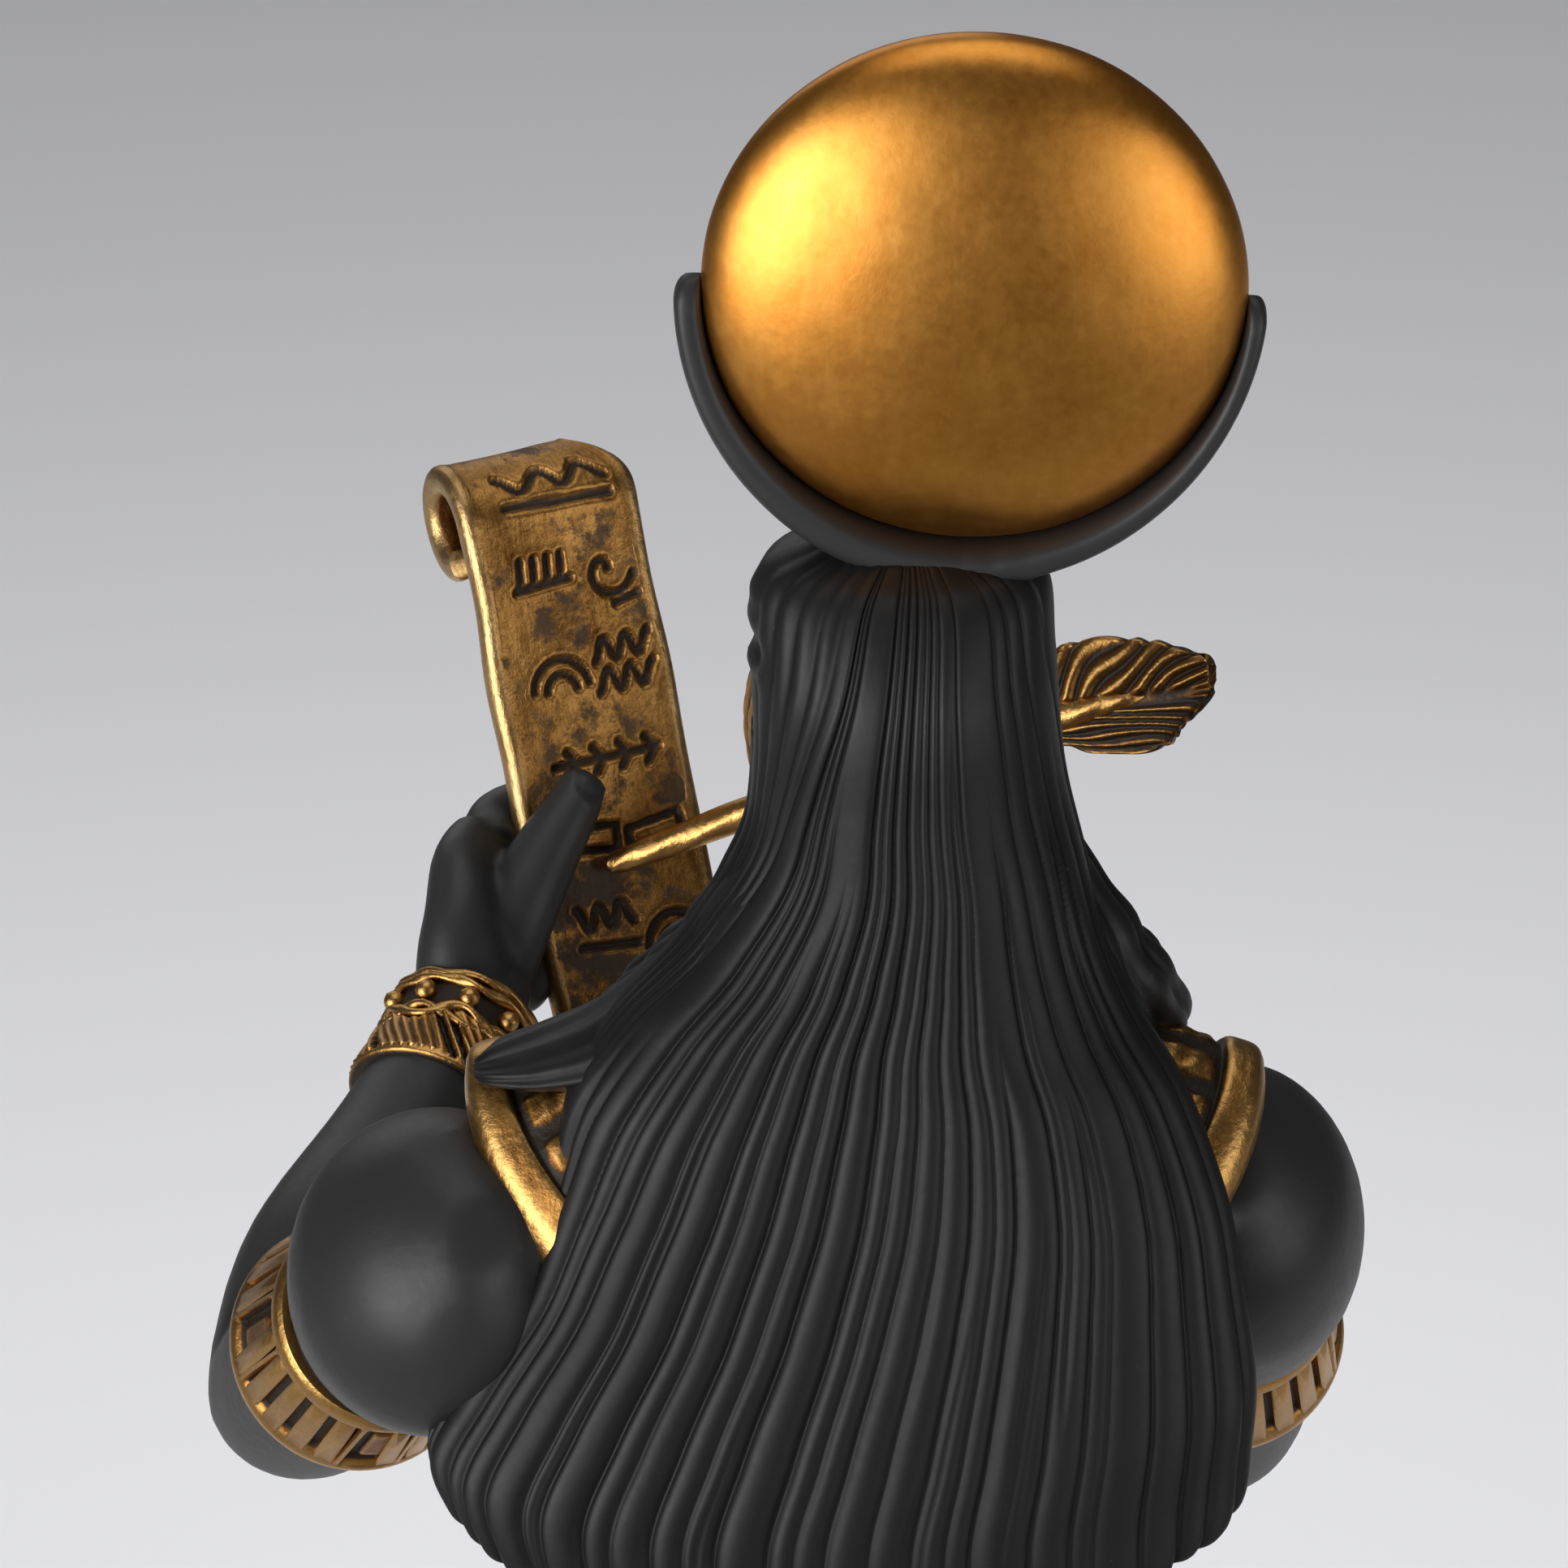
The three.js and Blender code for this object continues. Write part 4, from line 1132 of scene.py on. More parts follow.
wig = {
    "strands": 26,
    "groove": 0.85,
    "lateStrands": 0.28,  # share of the grooves that start part of the way down
    "plain": 0.12,  # share of the columns on each side of the strands at the crown
    "sweep": ((207, 216, 226, 236, 244, 252, 262), (1.15, 1.12, 1, 1, 1.15, 1.25, 1.45)),
    "strandEdges": (  # heights, and the share of the back where the outer strands run there
        ((246, 250, 256, 262), (0.0, 0.01, 0.04, 0.09)),
        ((222, 232, 240, 245, 250, 256, 262), (1.0, 0.92, 0.9, 0.88, 0.82, 0.73, 0.62)),
    ),
    "sideGrooves": (0.14, 0.33, 0.51, 0.7, 0.87),  # places across the left side of the crown
    "columns": 380,
    "rows": 176,
    "seed": 11,
}
wigStations = [
    (266.6, 0, -3.6, -3.4, 2.2, -2.2, -4.6),
    (265.8, 0, -3.6, -2.6, 6.0, 1.6, -6.6),
    (263.8, 0, -3.4, -2.4, 9.4, 5, -10.4),
    (258, 0, -3.5, -2.2, 9.9, 8.3, -12.4),
    (250, 0, -3.9, -1.4, 10.1, 9.5, -11.6),
    (244, 0, -4.1, -0.4, 11.2, 10.4, -9),
    (238, 0, -3, 1.6, 14, 11.4, -5),
    (233, 0.2, -1.8, 3.6, 17.6, 12.6, -1),
    (228, 0.6, -1.9, 6, 20.8, 14.2, 1),
    (221, 1, -2.6, 8.4, 22.9, 16.2, 3),
    (214.6, 1.6, -2.2, 10, 24.5, 17.8, 4),
    (208, 3, -0.6, 11, 27, 19.2, 5),
    (203, 5, 0.9, 11.4, 28.2, 20, 6),
    (199.6, 8.6, 0.6, 12, 27.4, 20.2, 7),
    (198.4, 8.8, 0.6, 12.4, 26, 18.6, 8),
]


def smoothly(z, table):  # a value by height, without corners at the heights of the table
    return sum(np.interp(z + shift, *table) for shift in np.linspace(-6, 6, 13)) / 13


def wigShell():
    random = np.random.default_rng(wig["seed"])
    t = np.linspace(0, 1, wig["rows"])
    z, drop, x, y, wide, rear, front = (column[:, None] for column in along(wigStations, t).T)
    fine = np.linspace(-math.pi / 2, math.pi / 2, 2000)
    arc = np.hypot(np.gradient(25 * np.sin(fine)), np.gradient(9.5 * np.cos(fine) ** 0.9))
    arc = np.cumsum(arc)
    column = np.linspace(0, 1, wig["columns"])
    down = t[:, None]
    edges = [smoothly(z, table) for table in wig["strandEdges"]]
    low = wig["plain"] * ease(236, 252, z)
    high = 1 - wig["plain"] * ease(212, 246, z)
    strand = (column - low) / (high - low)
    fanned = 1 - (1 - np.clip(strand, 0, 1)) ** smoothly(z, wig["sweep"])
    share = edges[0] + fanned * (edges[1] - edges[0])
    share = np.where(strand < 0, column / np.maximum(low, 1e-6) * edges[0], share)
    beyond = (1 - column) / np.maximum(1 - high, 1e-6)
    share = np.where(strand > 1, 1 - beyond * (1 - edges[1]), share)
    turn = np.interp(share, (arc - arc[0]) / (arc[-1] - arc[0]), fine)
    height = np.zeros(strand.shape)
    count = wig["strands"]
    places = (np.arange(0, count + 1) + random.uniform(-0.27, 0.27, count + 1)) / count
    for place in places:
        begins = -0.2 if random.random() > wig["lateStrands"] else random.uniform(0.2, 0.55)
        sway = random.uniform(-0.09, 0.09, 2) / count
        centre = place + sway[0] * np.sin(down * 3.3 + place * 9) + sway[1] * np.sin(down * 6)
        depth = wig["groove"] * random.uniform(0.5, 1.25) * (0.5 + 0.5 * ease(0.15, 0.7, down))
        away = np.abs(strand - centre) * count
        groove = 0.6 * np.exp(-((away / 0.15) ** 1.1)) + 0.4 * np.exp(-((away / 0.5) ** 1.3))
        height -= depth * ease(begins - 0.01, begins + 0.14, down) * groove
    for place in random.uniform(0.02, 0.98, 16):  # shallow lines on the strands
        begins, ends = np.sort(random.uniform(0.35, 1, 2))
        centre = place + random.uniform(-0.25, 0.25) / count * np.sin(down * 4 + place * 20)
        away = np.abs(strand - centre) * count
        fade = ease(begins, begins + 0.08, down) * (1 - ease(ends, ends + 0.08, down))
        height -= 0.14 * fade * np.exp(-((away / 0.1) ** 1.3))
    for place in wig["sideGrooves"]:  # softer grooves on the left of the crown
        away = np.abs(beyond - place) / 0.06
        height -= 0.36 * (strand > 1) * ease(228, 240, z) * np.exp(-(away**1.5))
    out = height + 0.65
    tip = np.clip(-height[-16:].mean(axis=0) - 0.2, 0, 1)  # strands end in rounded tips
    c, n = np.cos(turn), np.sin(turn)
    dip = drop * c**1.4 - 1.5 * tip * ease(0.84, 0.96, down)
    curls = 0.17 * np.sin(z * 1.35 + 0.6) + 0.14 * np.sin(z * 2.3)
    curls = curls * ease(254.5, 257.5, z) * (1 - ease(262, 265, z))
    out = out + curls * ease(0.88, 1, share)
    back = np.stack(
        [x + (wide + out) * n, y + (rear - y + out) * np.maximum(c, 0) ** 0.9, z - dip], axis=-1
    )
    sides = np.linspace(math.pi / 2, 1.5 * math.pi, 26)[1:-1]
    wave = curls * ease(-0.2, 0.9, np.sin(sides)) + 0.42 * ease(0, 0.3, np.abs(np.sin(sides)))
    fore = np.stack(
        [
            x + (wide + wave) * np.sin(sides),
            y + (y - front) * np.cos(sides),
            np.repeat(z, len(sides), axis=1),
        ],
        axis=-1,
    )
    return closedSkin(np.concatenate([back, fore], axis=1))


lockStations = {
    "left": [
        (5.5, -3, 251, 4.4, 5),
        (6.4, -2.4, 243, 4.2, 5.2),
        (9.6, -0.8, 235, 5.2, 5),
        (12.6, -3.8, 229, 6.6, 4.4),
        (15, -9.6, 222, 7, 4),
        (15.6, -14, 212, 6.2, 3.4),
        (14.8, -15.4, 202, 5, 2.8),
    ],
    "right": [
        (6.6, -3, 251, 4.4, 5),
        (7.8, -2.4, 243, 4.4, 5.2),
        (10.6, -0.6, 235, 6.4, 5),
        (12.2, -3.6, 229, 8, 4.6),
        (11.8, -9.6, 222, 7.4, 4),
        (11.4, -14, 212, 6.2, 3.4),
        (11, -15.4, 202, 5, 2.8),
    ],
}
frontLocks = {"strands": 13, "groove": 0.5}
shoulderSweep = [  # hair drawn out over the left shoulder and the top of the collar
    (1, 1, 246, 3, 2),
    (5.8, 1.6, 240.4, 5, 3),
    (11, 2.1, 233.7, 6.3, 2.7),
    (16.5, 2.6, 229.9, 5.2, 2.1),
    (21, 2.8, 228.4, 4.2, 1.6),
    (24.4, 3, 227.9, 2.9, 1),
    (26, 2.8, 227.5, 1, 0.4),
]


def frontLock(side):
    sign = 1 if side == "left" else -1
    stations = [(out * sign - 3, *rest) for out, *rest in lockStations[side]]
    stations.append((*stations[-1][:2], stations[-1][2] - 0.9, 4, 2))

    def flutes(angle, t):
        place = (angle * frontLocks["strands"] / (2 * math.pi) + 0.25 * np.sin(t * 5)) % 1
        crimp = 0.16 * np.sin(t * 75) * ease(0.15, 0.3, t)
        away = np.minimum(place, 1 - place) / 0.16
        return 0.2 + crimp - frontLocks["groove"] * np.exp(-(away**0.95))

    return limb(stations, (1, 0, 0), 130, 86, flutes)


def sweepFlutes(angle, t):
    return 0.13 * np.sin(angle * 9 + 4 * t)


def makeWig():
    cape = makePiece("wig", [wigShell()], wigResin)
    sweep = limb(shoulderSweep, (0, 1, 0), 80, 56, sweepFlutes)
    locks = makePiece("frontLocks", [frontLock("left"), frontLock("right"), sweep], wigResin)
    for piece in (cape, locks):
        settle(piece, 1.6)


makeWig()


# Ibis head with a long curved bill, turned toward the scroll

head = {"centre": (-3.6, -3), "turn": 20, "eye": (9.6, 252.6), "eyeRadius": 1.15}


def inFrontOfHead(forward, z, aside=0.0):
    turn = math.radians(head["turn"])
    x = head["centre"][0] + forward * math.sin(turn) + aside * math.cos(turn)
    return (x, head["centre"][1] - forward * math.cos(turn) + aside * math.sin(turn), z)


def makeHead():
    def brow(angle, t):
        return 0.35 * bump(t, 0.52, 0.14, 0.1) * bump(np.abs(np.sin(angle)), 0.75, 0.3, 0.2)

    face = limb(
        [
            (*inFrontOfHead(-2, 251), 8, 8.6),
            (*inFrontOfHead(5, 251), 8, 8.4),
            (*inFrontOfHead(10.5, 250.4), 6.6, 6.8),
            (*inFrontOfHead(14.4, 249.6), 4.6, 4.8),
            (*inFrontOfHead(17, 249), 3.2, 3.4),
        ],
        (1, 0, 0),
        110,
        90,
        brow,
    )

    def mouth(angle, t):  # the line between the halves of the bill, and fine rings along it
        line = np.exp(-((np.sin(angle) / 0.14) ** 2))
        return -0.28 * line * (1 - ease(0.9, 1, t)) - 0.05 * np.sin(t * 60) ** 4

    bill = limb(
        [
            (*inFrontOfHead(14, 249.8), 3.3, 3.8),
            (*inFrontOfHead(19.4, 248.2), 2.6, 3),
            (*inFrontOfHead(24, 244.2, 0.05), 2.1, 2.4),
            (*inFrontOfHead(26.6, 238.4, 0.25), 1.8, 2),
            (*inFrontOfHead(26.6, 232, -0.35), 1.4, 1.6),
            (*inFrontOfHead(25.4, 227.6, -0.4), 0.9, 1.0),
            (*inFrontOfHead(25, 226.6, -0.4), 0.3, 0.4),
        ],
        (math.cos(math.radians(head["turn"])), math.sin(math.radians(head["turn"])), 0),
        72,
        150,
        mouth,
    )
    forward, height = head["eye"]
    eyes, rings = [], []
    for sign in (-1, 1):
        middle = np.array(inFrontOfHead(forward, height, 6.3 * sign))
        outward = unit(np.subtract(inFrontOfHead(0.35, 0.12, sign), inFrontOfHead(0, 0)))
        first = unit(np.cross(outward, (0, 0, 1)))
        second = np.cross(outward, first)
        points, faces = bead(head["eyeRadius"], 20, 12)
        eyes.append((middle + points, faces))
        angle = roundAngles(72)
        long = np.cos(angle) * (1.75 + 0.5 * (np.cos(angle) > 0) * np.cos(angle) ** 2)
        path = middle + np.outer(long, first) + np.outer(np.sin(angle) * 1.35, second)
        rings.append(cordOn(path + outward * 0.1, 0.24, trimGold, 0, 3, 0.0, 72))
    dark = makePiece("ibisFace", [face] + eyes, resin)
    bright = makePiece("ibisBill", [bill] + rings, trimGold)
    for piece, slot in ((dark, "black_resin"), (bright, "antique_gold")):
        settle(piece, 1.2)


makeHead()


# Moon disc in the horned crescent on the crown

disc = {
    "radius": 18.95,
    "halfThickness": 6.7,
    "centre": (-8.4, -3, 285.5),
    "roll": 2.6,
    "lean": 3,
}
crescent = {
    "outer": (20.7, 21, 21.5, 22, 21.9, 21.4, 20.8, 20.4, 20.3),
    "overlap": 0.15,
    "tipDepth": 2.6,
    "footDepth": 7,
}


def placeWithDisc(points):
    lean, roll = math.radians(disc["lean"]), math.radians(-disc["roll"])
    x, y, z = np.asarray(points, float).T
    y, z = y * math.cos(lean) - z * math.sin(lean), y * math.sin(lean) + z * math.cos(lean)
    x, z = x * math.cos(roll) + z * math.sin(roll), z * math.cos(roll) - x * math.sin(roll)
    return np.stack([x, y, z], axis=-1) + disc["centre"]


def domedDiscTree():  # a ball flattened into a lens, with faint dents
    graph, entry = startTree("domedDisc", {"Radius": 0.019, "Dome": 0.0067, "Uneven": 0.00012})
    ball = graph.node(
        "GeometryNodeMeshUVSphere", sockets={"Segments": 150, "Rings": 100, "Radius": 1.0}
    )
    place = graph.node("GeometryNodeInputPosition")
    sockets = {0: entry["Radius"], 1: entry["Radius"], 2: entry["Dome"]}
    size = graph.node("ShaderNodeCombineXYZ", sockets=sockets)
    flat = graph.node("ShaderNodeVectorMath", {"operation": "MULTIPLY"}, {0: place, 1: size})
    dents = graph.node("ShaderNodeTexNoise", sockets={"Vector": place, "Scale": 2.6, "Detail": 1})
    push = (dents - 0.5) * entry["Uneven"]
    away = graph.node("ShaderNodeVectorMath", {"operation": "SCALE"}, {0: place, "Scale": push})
    total = graph.node("ShaderNodeVectorMath", {"operation": "ADD"}, {0: flat, 1: away})
    shaped = graph.node("GeometryNodeSetPosition", sockets={"Geometry": ball, "Position": total})
    return endTree(graph, shaped, entry)


def makeDisc():
    leaf = goldLeafFinish()
    piece = makePiece("moonDisc", [roundedBlock((1, 1, 1))], leaf)
    sizes = {"Radius": (disc["radius"] - 0.1) * 0.001, "Dome": disc["halfThickness"] * 0.001}
    addTree(piece, domedDiscTree(), {**sizes, "Uneven": 0.00016, "Finish": leaf})
    plainMesh(piece)
    points = readPoints(piece.data) + [0, spineY, 0]
    points = points[:, [0, 2, 1]] * [1, 1, -1]
    movePoints(piece.data, placeWithDisc(points))
    settle(piece, node="moon_disc")


def makeCrescent():
    inner = disc["radius"] - crescent["overlap"]
    steps, sides = 220, 44
    t = np.linspace(0, 1, steps + 1)
    angle = math.pi * (1 + t)
    outer = along([(r,) for r in crescent["outer"]], 1 - t)[:, 0]
    depth = mix(crescent["tipDepth"], crescent["footDepth"], np.abs(np.sin(angle)) ** 0.8) / 2
    fromTip = np.minimum(t, 1 - t) / 0.035
    thin = np.where(fromTip < 1, np.sqrt(np.clip(1 - (1 - fromTip) ** 2, 0.01, 1)), 1)
    outer = inner + (outer - inner) * (0.3 + 0.7 * thin)
    hairs = 0.5 + 0.5 * np.sin(angle * 62 + 2 * np.sin(angle * 9))  # tufts that reach its foot
    outer = outer + 0.5 * hairs**2 * bump(angle, math.pi * 1.47, 0.17, 0.1)
    mid, half = (inner + outer) / 2, (outer - inner) / 2
    turn = roundAngles(sides)
    c, n = np.cos(turn), np.sin(turn)
    radius = mid[:, None] + half[:, None] * np.sign(c) * np.abs(c) ** 0.7
    rings = np.stack(
        [
            radius * np.cos(angle)[:, None],
            (depth * thin)[:, None] * np.sign(n) * np.abs(n) ** 0.6,
            radius * np.sin(angle)[:, None],
        ],
        axis=-1,
    )
    points, faces = closedSkin(rings)
    piece = makePiece("hornedCrescent", [(placeWithDisc(points), faces)], resin)
    settle(piece, 1.5)


makeDisc()
makeCrescent()


# Scroll: a thick strip curled at head and foot, with rows of strokes cut in its face

marks = {"depth": 0.48, "half": 0.29, "rows": 10, "top": 25.0, "step": 6.2, "seed": 5}


def strokeShapes():  # plain strokes in a box one unit each way; none is a letter or a picture
    wave = [(x, 0.3 * math.sin(x * 7.8)) for x in np.linspace(-1, 1, 19)]
    coil = [
        (0.16 * a * math.cos(a), 0.16 * a * math.sin(a) * 0.9) for a in np.linspace(0.4, 6, 22)
    ]
    arches = [
        [(r * math.cos(a), r * math.sin(a) * 0.9 - 0.6) for a in np.linspace(0.15, 3.0, 10)]
        for r in (1.0, 0.55)
    ]
    box = [(-1, 0.3), (0.9, 0.5), (1, -0.1), (-0.9, -0.35), (-1, 0.3)]
    teeth = [[(x, 0.05), (x + 0.08, 0.75)] for x in (-0.8, -0.3, 0.2, 0.7)]
    bones = [[(x - 0.18, 0.5), (x, 0), (x - 0.18, -0.5)] for x in (-0.55, -0.05, 0.45, 0.95)]
    return [
        [box],
        [[(-1, -0.65), (1, -0.5)], [(x, y + 0.25) for x, y in wave]],
        [coil, [(0.1, -0.95), (0.95, -0.8)]],
        arches,
        [[(-1, -0.05), (1, 0.05)]] + teeth,
        [[(-1, 0), (1, 0)]] + bones,
        [[(x, y + 0.42) for x, y in wave], [(x, y - 0.42) for x, y in wave]],
    ]


def placeMarks():
    random = np.random.default_rng(marks["seed"])
    shapes, segments = strokeShapes(), []
    order = [int(k) for _ in range(4) for k in random.permutation(len(shapes))]
    for row in range(marks["rows"]):
        up = marks["top"] - row * marks["step"]
        wideRow = row % 3 == 0
        for middle in (-0.6,) if wideRow else (1.7, -3.2):
            shape = shapes[order.pop(0)]
            width, height = (4.0, 1.8) if wideRow else (2.1, 2.6)
            flip = random.choice((-1, 1))
            lift = random.uniform(-0.5, 0.5)
            for line in shape:
                line = np.array(line) * (flip * width, height) + (middle, up + lift)
                segments += list(zip(line[:-1], line[1:]))
    return segments


def strokeDistance(across, up):
    nearest = np.full(across.shape, 9.0)
    for (ax, ay), (bx, by) in placeMarks():
        dx, dy = bx - ax, by - ay
        f = np.clip(((across - ax) * dx + (up - ay) * dy) / (dx * dx + dy * dy), 0, 1)
        nearest = np.minimum(nearest, np.hypot(across - ax - f * dx, up - ay - f * dy))
    return nearest


def sheetPath():  # points down the strip's middle: distance back, height, outward angle
    def curl(centreOut, centreUp, radius, turns, sign):
        points = []
        for k in np.linspace(0, 1, 90):
            angle = sign * k * turns * 2 * math.pi
            r = radius * (1 - 0.3 * k)
            points.append((centreOut + r * math.cos(angle), centreUp + r * math.sin(angle), angle))
        return points

    radius, turns = scroll["topCurl"]
    path = curl(-radius, scroll["up"], radius, turns, 1)[::-1]
    path += [(0, up, 0) for up in np.linspace(scroll["up"], -scroll["down"], 290)[1:-1]]
    radius, turns = scroll["footCurl"]
    path += curl(-radius, -scroll["down"], radius, turns, -1)
    return np.array(path)


def makeScroll():
    path = sheetPath()
    length = np.concatenate([[0], np.cumsum(np.hypot(*np.diff(path[:, :2], axis=0).T))])
    straightTop = length[np.flatnonzero(np.abs(path[:, 2]) < 1e-6)[0]]
    up = scroll["up"] - (length - straightTop)
    half, width = scroll["thickness"] / 2, scroll["width"] / 2
    soft = 0.8
    face = np.linspace(-width + soft, width - soft, 76)
    turn = np.linspace(0, math.pi / 2, 5)
    w, h, s, c = width - soft, half - soft, soft * np.sin(turn), soft * np.cos(turn)
    ring = [(a, half) for a in face]
    ring += zip(w + s[1:], h + c[1:])
    ring += zip(w + c[:-1], -h - s[:-1])
    ring += [(a, -half) for a in face[::-1][::5]]
    ring += zip(-w - s[1:], -h - c[1:])
    ring += zip(-w - c[:-1], h + s[:-1])
    across, out = np.array(ring).T
    acrossGrid, upGrid = np.meshgrid(across, up)
    outGrid = np.repeat(out[None], len(path), axis=0)
    wobble = 0.26 * np.sin(upGrid * 0.17 + 1) + 0.1 * np.sin(upGrid * 0.63)
    outGrid = outGrid * (1 + 0.1 * ease(width - 1.6, width - 0.6, np.abs(acrossGrid)))
    dent = 0.14 * np.sin(acrossGrid * 0.5 + upGrid * 0.33) * np.sin(upGrid * 0.24 + 2)
    isFace = (out > half - 0.01)[None] * 1.0
    gap = strokeDistance(acrossGrid, upGrid)
    cut = (1 - ease(marks["half"] * 0.45, marks["half"] * 1.25, gap)) * isFace
    lip = np.exp(-(((gap - marks["half"] * 1.9) / 0.16) ** 2)) * isFace
    outGrid = outGrid + dent - marks["depth"] * cut + 0.07 * lip
    atEdge = (np.abs(acrossGrid) > width - 1.2) * np.sign(acrossGrid)
    sideways = acrossGrid * (1 - 0.012 * (1 + np.sin(upGrid * 0.4))) + wobble * atEdge * 0.35
    angle = path[:, 2][:, None]
    shoulder = 3.2 * ease(0.0, 1.5, angle) ** 2  # the far corner of the top is worn round
    sideways = np.where(sideways < 0, sideways * (1 - shoulder / width), sideways)
    back = path[:, 0][:, None] + outGrid * np.cos(angle)
    high = path[:, 1][:, None] + outGrid * np.sin(angle)
    grid = (
        np.array(scroll["centre"])
        + sideways[..., None] * scrollAcross
        + high[..., None] * scrollAlong
        + back[..., None] * scrollFacing
    )
    piece = makePiece("scrollSheet", [closedSkin(grid)], scrollGoldFinish())
    mesh, ends = piece.data, [0, 0]
    markValue(mesh, "ink", np.concatenate([ease(0.35, 0.8, cut).ravel(), ends]))
    rim = ease(width - 1.3, width - 0.3, np.abs(acrossGrid))
    markValue(mesh, "edge", np.concatenate([rim.ravel(), ends]))
    layer = mesh.attributes.new("sheetPlace", "FLOAT_VECTOR", "POINT")
    flat = np.stack([acrossGrid, upGrid, outGrid], axis=-1).reshape(-1, 3) * 0.001
    flat = np.vstack([flat, np.zeros((2, 3))])
    layer.data.foreach_set("vector", flat.astype(np.float32).ravel())
    settle(piece, 0.9, "scroll")


makeScroll()


# Quill: a bowed shaft that is a writing point at one end and runs up a barbed vane at the other

pen = {
    "tip": (16.65, -65.4, 207.1),
    "bow": (6.2, -64.1, 212.3),
    "grip": (-4, -61.5, 217.2),
    "root": (-14.5, -58.9, 222.2),
    "end": (-24.2, -56.4, 227),
    "tipRadius": 0.78,
    "shaftRadius": 1.2,
    "vane": (15.8, 3.8, 1.6),
    "upper": (0.2, 0.8, 1.06, 1.2, 1.24, 1.18, 1.08, 0.95, 0.72),
    "lower": (0.2, 0.48, 0.68, 0.88, 0.98, 0.98, 0.9, 0.76, 0.45),
    "barbs": (9.2, 6.2),
    "bend": 2.3,
}


def makeQuill():
    tip, bow, root, end = (np.array(pen[name], float) for name in ("tip", "bow", "root", "end"))
    r = pen["shaftRadius"]
    ahead = unit(end - root)
    facing = np.array((-0.1, 0.86, 0.5))
    facing = unit(facing - (facing @ ahead) * ahead)
    across = np.cross(facing, ahead)
    length, half, thick = pen["vane"]
    origin = mix(root, end, -0.35)
    inVane = [(end - root) * part - across * sink for part, sink in ((0.4, 0.3), (0.62, 0.65))]

    def carved(angle, t):
        return 0.05 * np.sin(angle * 3 + t * 40) * np.sin(t * 23 + angle) - 0.03

    shaft = limb(
        [
            (*mix(tip, bow, -0.02), 0.4, 0.4),
            (*tip, pen["tipRadius"], pen["tipRadius"]),
            (*mix(tip, bow, 0.35), r * 0.85, r * 0.85),
            (*bow, r, r),
            (*pen["grip"], r, r),
            (*root, r * 0.9, r * 0.9),
            (*(root + inVane[0]), 0.7, 0.9),
            (*(root + inVane[1]), 0.3, 0.5),
        ],
        (0, 1, 0),
        36,
        130,
        carved,
    )
    t = np.linspace(0, 1, 190)[:, None]
    u = np.linspace(-1, 1, 58)[None]
    upper, lower = (half * along([(v,) for v in pen[name]], t[:, 0]) for name in ("upper", "lower"))
    spread = np.where(u > 0, upper, lower) * np.abs(u)
    coarse = (t * pen["barbs"][0] - spread / half * (1.2 + 3 * t**2) + 0.2 * np.sin(t * 17)) % 1
    finer = (spread / half * pen["barbs"][1] - t * 2.2 + 0.25 * np.sin(t * 9 + u * 7)) % 1
    ridge = np.where(u > 0, np.sin(math.pi * coarse), np.sin(math.pi * finer) ** 1.5)
    spread = spread * (1 + 0.06 * (ridge - 0.5) * np.abs(u) ** 3)
    fromEdge = ease(0.9, 0.99, np.abs(u)) + ease(0.97, 1, t)
    raised = np.maximum(ridge * np.where(u > 0, 1, 0.55), np.minimum(fromEdge, 1) * 0.8)
    rise = thick / 2 * (0.4 + 0.6 * raised * ease(0.03, 0.2, np.abs(u)))
    rise = rise * (1 - 0.4 * np.abs(u) ** 3)
    cup = 0.5 * np.abs(u) ** 2
    side = spread * np.sign(u) - pen["bend"] * (t - 0.42)
    blunt = np.where(u > 0, 0.9 * u - 1.5 * np.abs(u) ** 5, -2.8 * np.abs(u) ** 1.6)
    lie = t * length + ease(0.6, 1, t) * blunt
    middle = origin + lie[..., None] * ahead + side[..., None] * across
    front = middle + (rise - cup)[..., None] * facing
    rear = middle - (rise + cup)[..., None] * facing
    vane = closedSkin(np.concatenate([front, rear[:, ::-1]], axis=1))
    dark = 0.8 - 0.58 * np.where(u > 0, ease(0.1, 0.55, ridge), ease(0.45, 1, ridge))
    dark = dark - 0.3 * np.minimum(fromEdge, 1) * dark
    dark = np.concatenate([dark, dark[:, ::-1]], axis=1).ravel()
    paint = np.concatenate([np.zeros(len(shaft[0])), dark, [0, 0]])
    piece = makePiece("quill", [shaft, vane], trimGold, paint=paint)
    settle(piece, 0.8, "quill_pen")


makeQuill()


# Base: a black slab with eased edges and a gold line round its foot

base = {"width": 70, "depth": 94, "height": 12, "step": 2.2, "corner": 3, "line": (3.9, 0.55)}


def roundedRing(x, y, corner, z):
    turn = np.linspace(0, math.pi / 2, 9)
    parts = []
    for signX, signY, start in ((1, 1, 0), (-1, 1, 1), (-1, -1, 2), (1, -1, 3)):
        angle = turn + start * math.pi / 2
        centre = (signX * (x - corner), signY * (y - corner))
        parts.append(centre + corner * np.stack([np.cos(angle), np.sin(angle)], axis=-1))
    ring = np.vstack(parts)
    fine = []
    for k, (a, b) in enumerate(zip(ring, np.roll(ring, -1, axis=0))):
        pieces = 24 if k % 9 == 8 else 1  # only the straight sides are divided
        fine += [mix(a, b, part / pieces) for part in range(pieces)]
    fine = np.array(fine)
    return np.hstack([fine, np.full((len(fine), 1), z)]) - [0, spineY, 0]


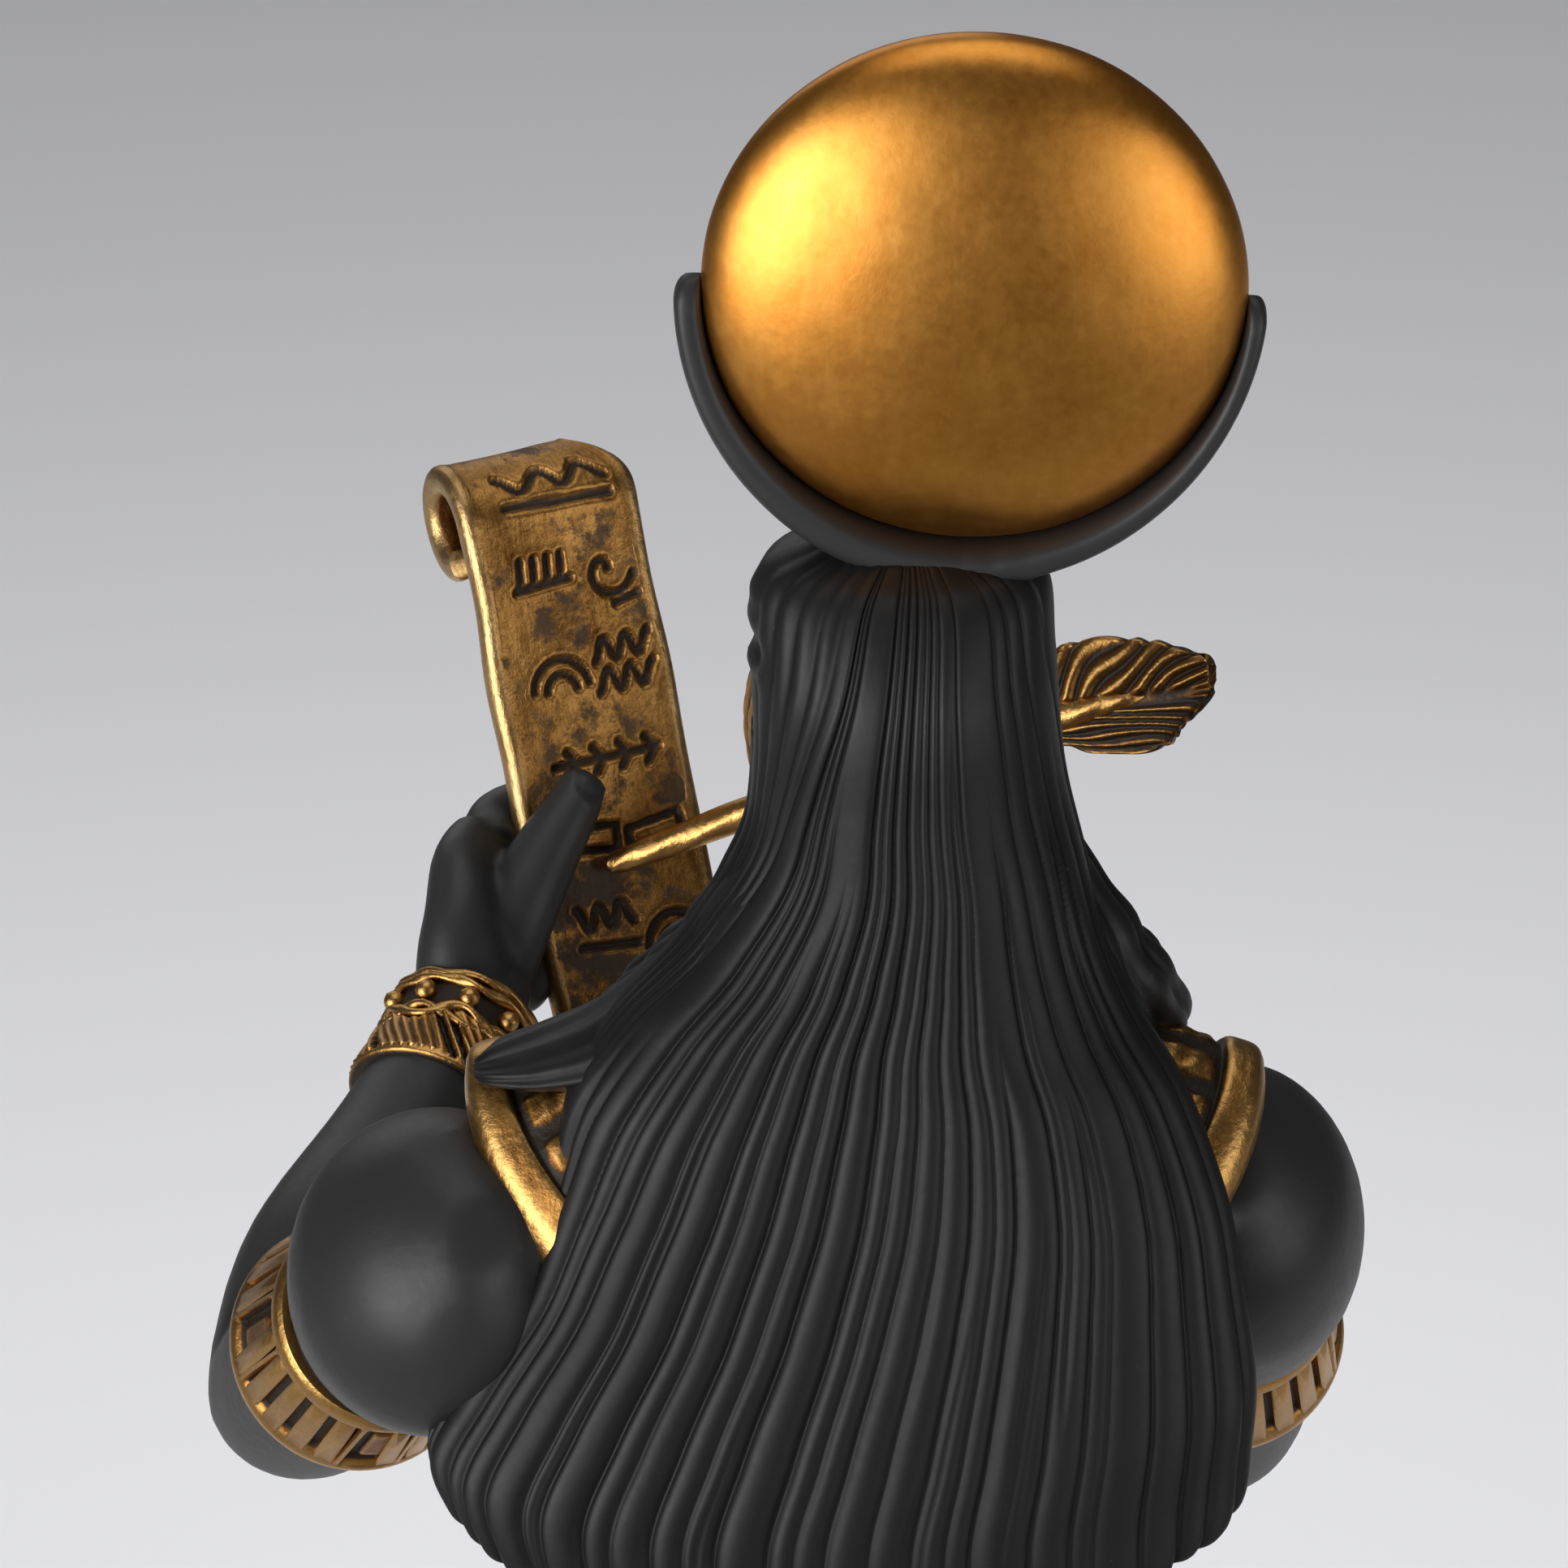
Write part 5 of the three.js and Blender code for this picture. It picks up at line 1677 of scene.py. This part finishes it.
def makeBase():
    x, y, step, top = base["width"] / 2, base["depth"] / 2, base["step"], base["height"]
    rows = [(0, 0.35), (0.35, 0), (3.3, 0), (3.65, 0.35), (4.5, step * 0.75), (5.2, step)]
    rows += [(top - 1.9, step + 0.25), (top - 0.8, step + 0.7), (top - 0.2, step + 1.3)]
    rows += [(top, step + inset) for inset in (2.1, 8, 20)]
    rings = [roundedRing(x - inset, y - inset, base["corner"], z) for z, inset in rows]
    slab = makePiece("baseSlab", [closedSkin(rings)], resin, 50)
    settle(slab, 3, "base")
    height, radius = base["line"]
    inset = step * 0.55
    path = roundedRing(x - inset, y - inset, base["corner"], height + 0.35)
    line = makePiece("baseLine", [cordOn(path, radius, trimGold, 0, 3, 0.0, 240)], trimGold)
    settle(line, 1, "base")


makeBase()


# Floor, lights and the camera of the photograph

studio = {"world": 0.07, "lookedAt": (0, 0.015, 0.2), "floorReach": 12.0}
lights = {  # place, power, width, height, spread, and whether it shines straight down
    "softbox0": ((-0.52, 0.44, 0.2), 0.75, 0.8, 0.9, 70, False),
    "softbox1": ((0.5, 0.5, 0.22), 3.0, 1.0, 1.0, 70, False),
    "topLight": ((0.0, -0.31, 0.36), 0.42, 0.4, 0.2, 120, True),
    "overLight": ((0.0, -0.1, 0.75), 0.43, 0.5, 0.5, 120, True),
    "frontFill": ((0.35, -1.2, 0.7), 0.6, 0.9, 0.9, 100, False),
}
camera = {
    "target": (0.0047, 0.015, 0.2482),
    "back": (0, 0.883, 0.469),
    "distance": 4.0,
    "frameWidth": 0.1082,
}


def makeStage():
    mesh = bpy.data.meshes.new("floor")
    reach = studio["floorReach"]
    corners = [(-reach, -reach, 0), (reach, -reach, 0), (reach, reach, 0), (-reach, reach, 0)]
    mesh.from_pydata(corners, [], [(0, 1, 2, 3)])
    mesh.materials.append(paleFloorFinish())
    floor = bpy.data.objects.new("floor", mesh)
    bpy.context.scene.collection.objects.link(floor)
    world = bpy.data.worlds.new("studio")
    world.use_nodes = True
    shade = world.node_tree.nodes["Background"]
    shade.inputs["Color"].default_value = (0.80, 0.81, 0.84, 1)
    shade.inputs["Strength"].default_value = studio["world"]
    bpy.context.scene.world = world


def addLight(name, place, power, width, height, spread, down):
    light = bpy.data.lights.new(name, "AREA")
    light.shape = "RECTANGLE"
    light.size, light.size_y = width, height
    light.energy = power
    light.spread = math.radians(spread)
    lamp = bpy.data.objects.new(name, light)
    lamp.location = place
    lamp.visible_camera = False
    aim = Vector((0, 0, -1)) if down else Vector(studio["lookedAt"]) - lamp.location
    lamp.rotation_euler = aim.to_track_quat("-Z", "Y").to_euler()
    bpy.context.scene.collection.objects.link(lamp)


def makeCamera():
    data = bpy.data.cameras.new("photoCamera")
    data.sensor_width = 36
    data.lens = 36 * camera["distance"] / camera["frameWidth"]
    data.clip_start, data.clip_end = 0.1, 60
    eye = bpy.data.objects.new("photoCamera", data)
    back = Vector(camera["back"]).normalized()
    eye.location = Vector(camera["target"]) + back * camera["distance"]
    eye.rotation_euler = (-back).to_track_quat("-Z", "Y").to_euler()
    bpy.context.scene.collection.objects.link(eye)
    bpy.context.scene.camera = eye


makeStage()
for name, values in lights.items():
    addLight(name, *values)
makeCamera()
bpy.context.scene.view_settings.view_transform = "Standard"
print("stage ready")
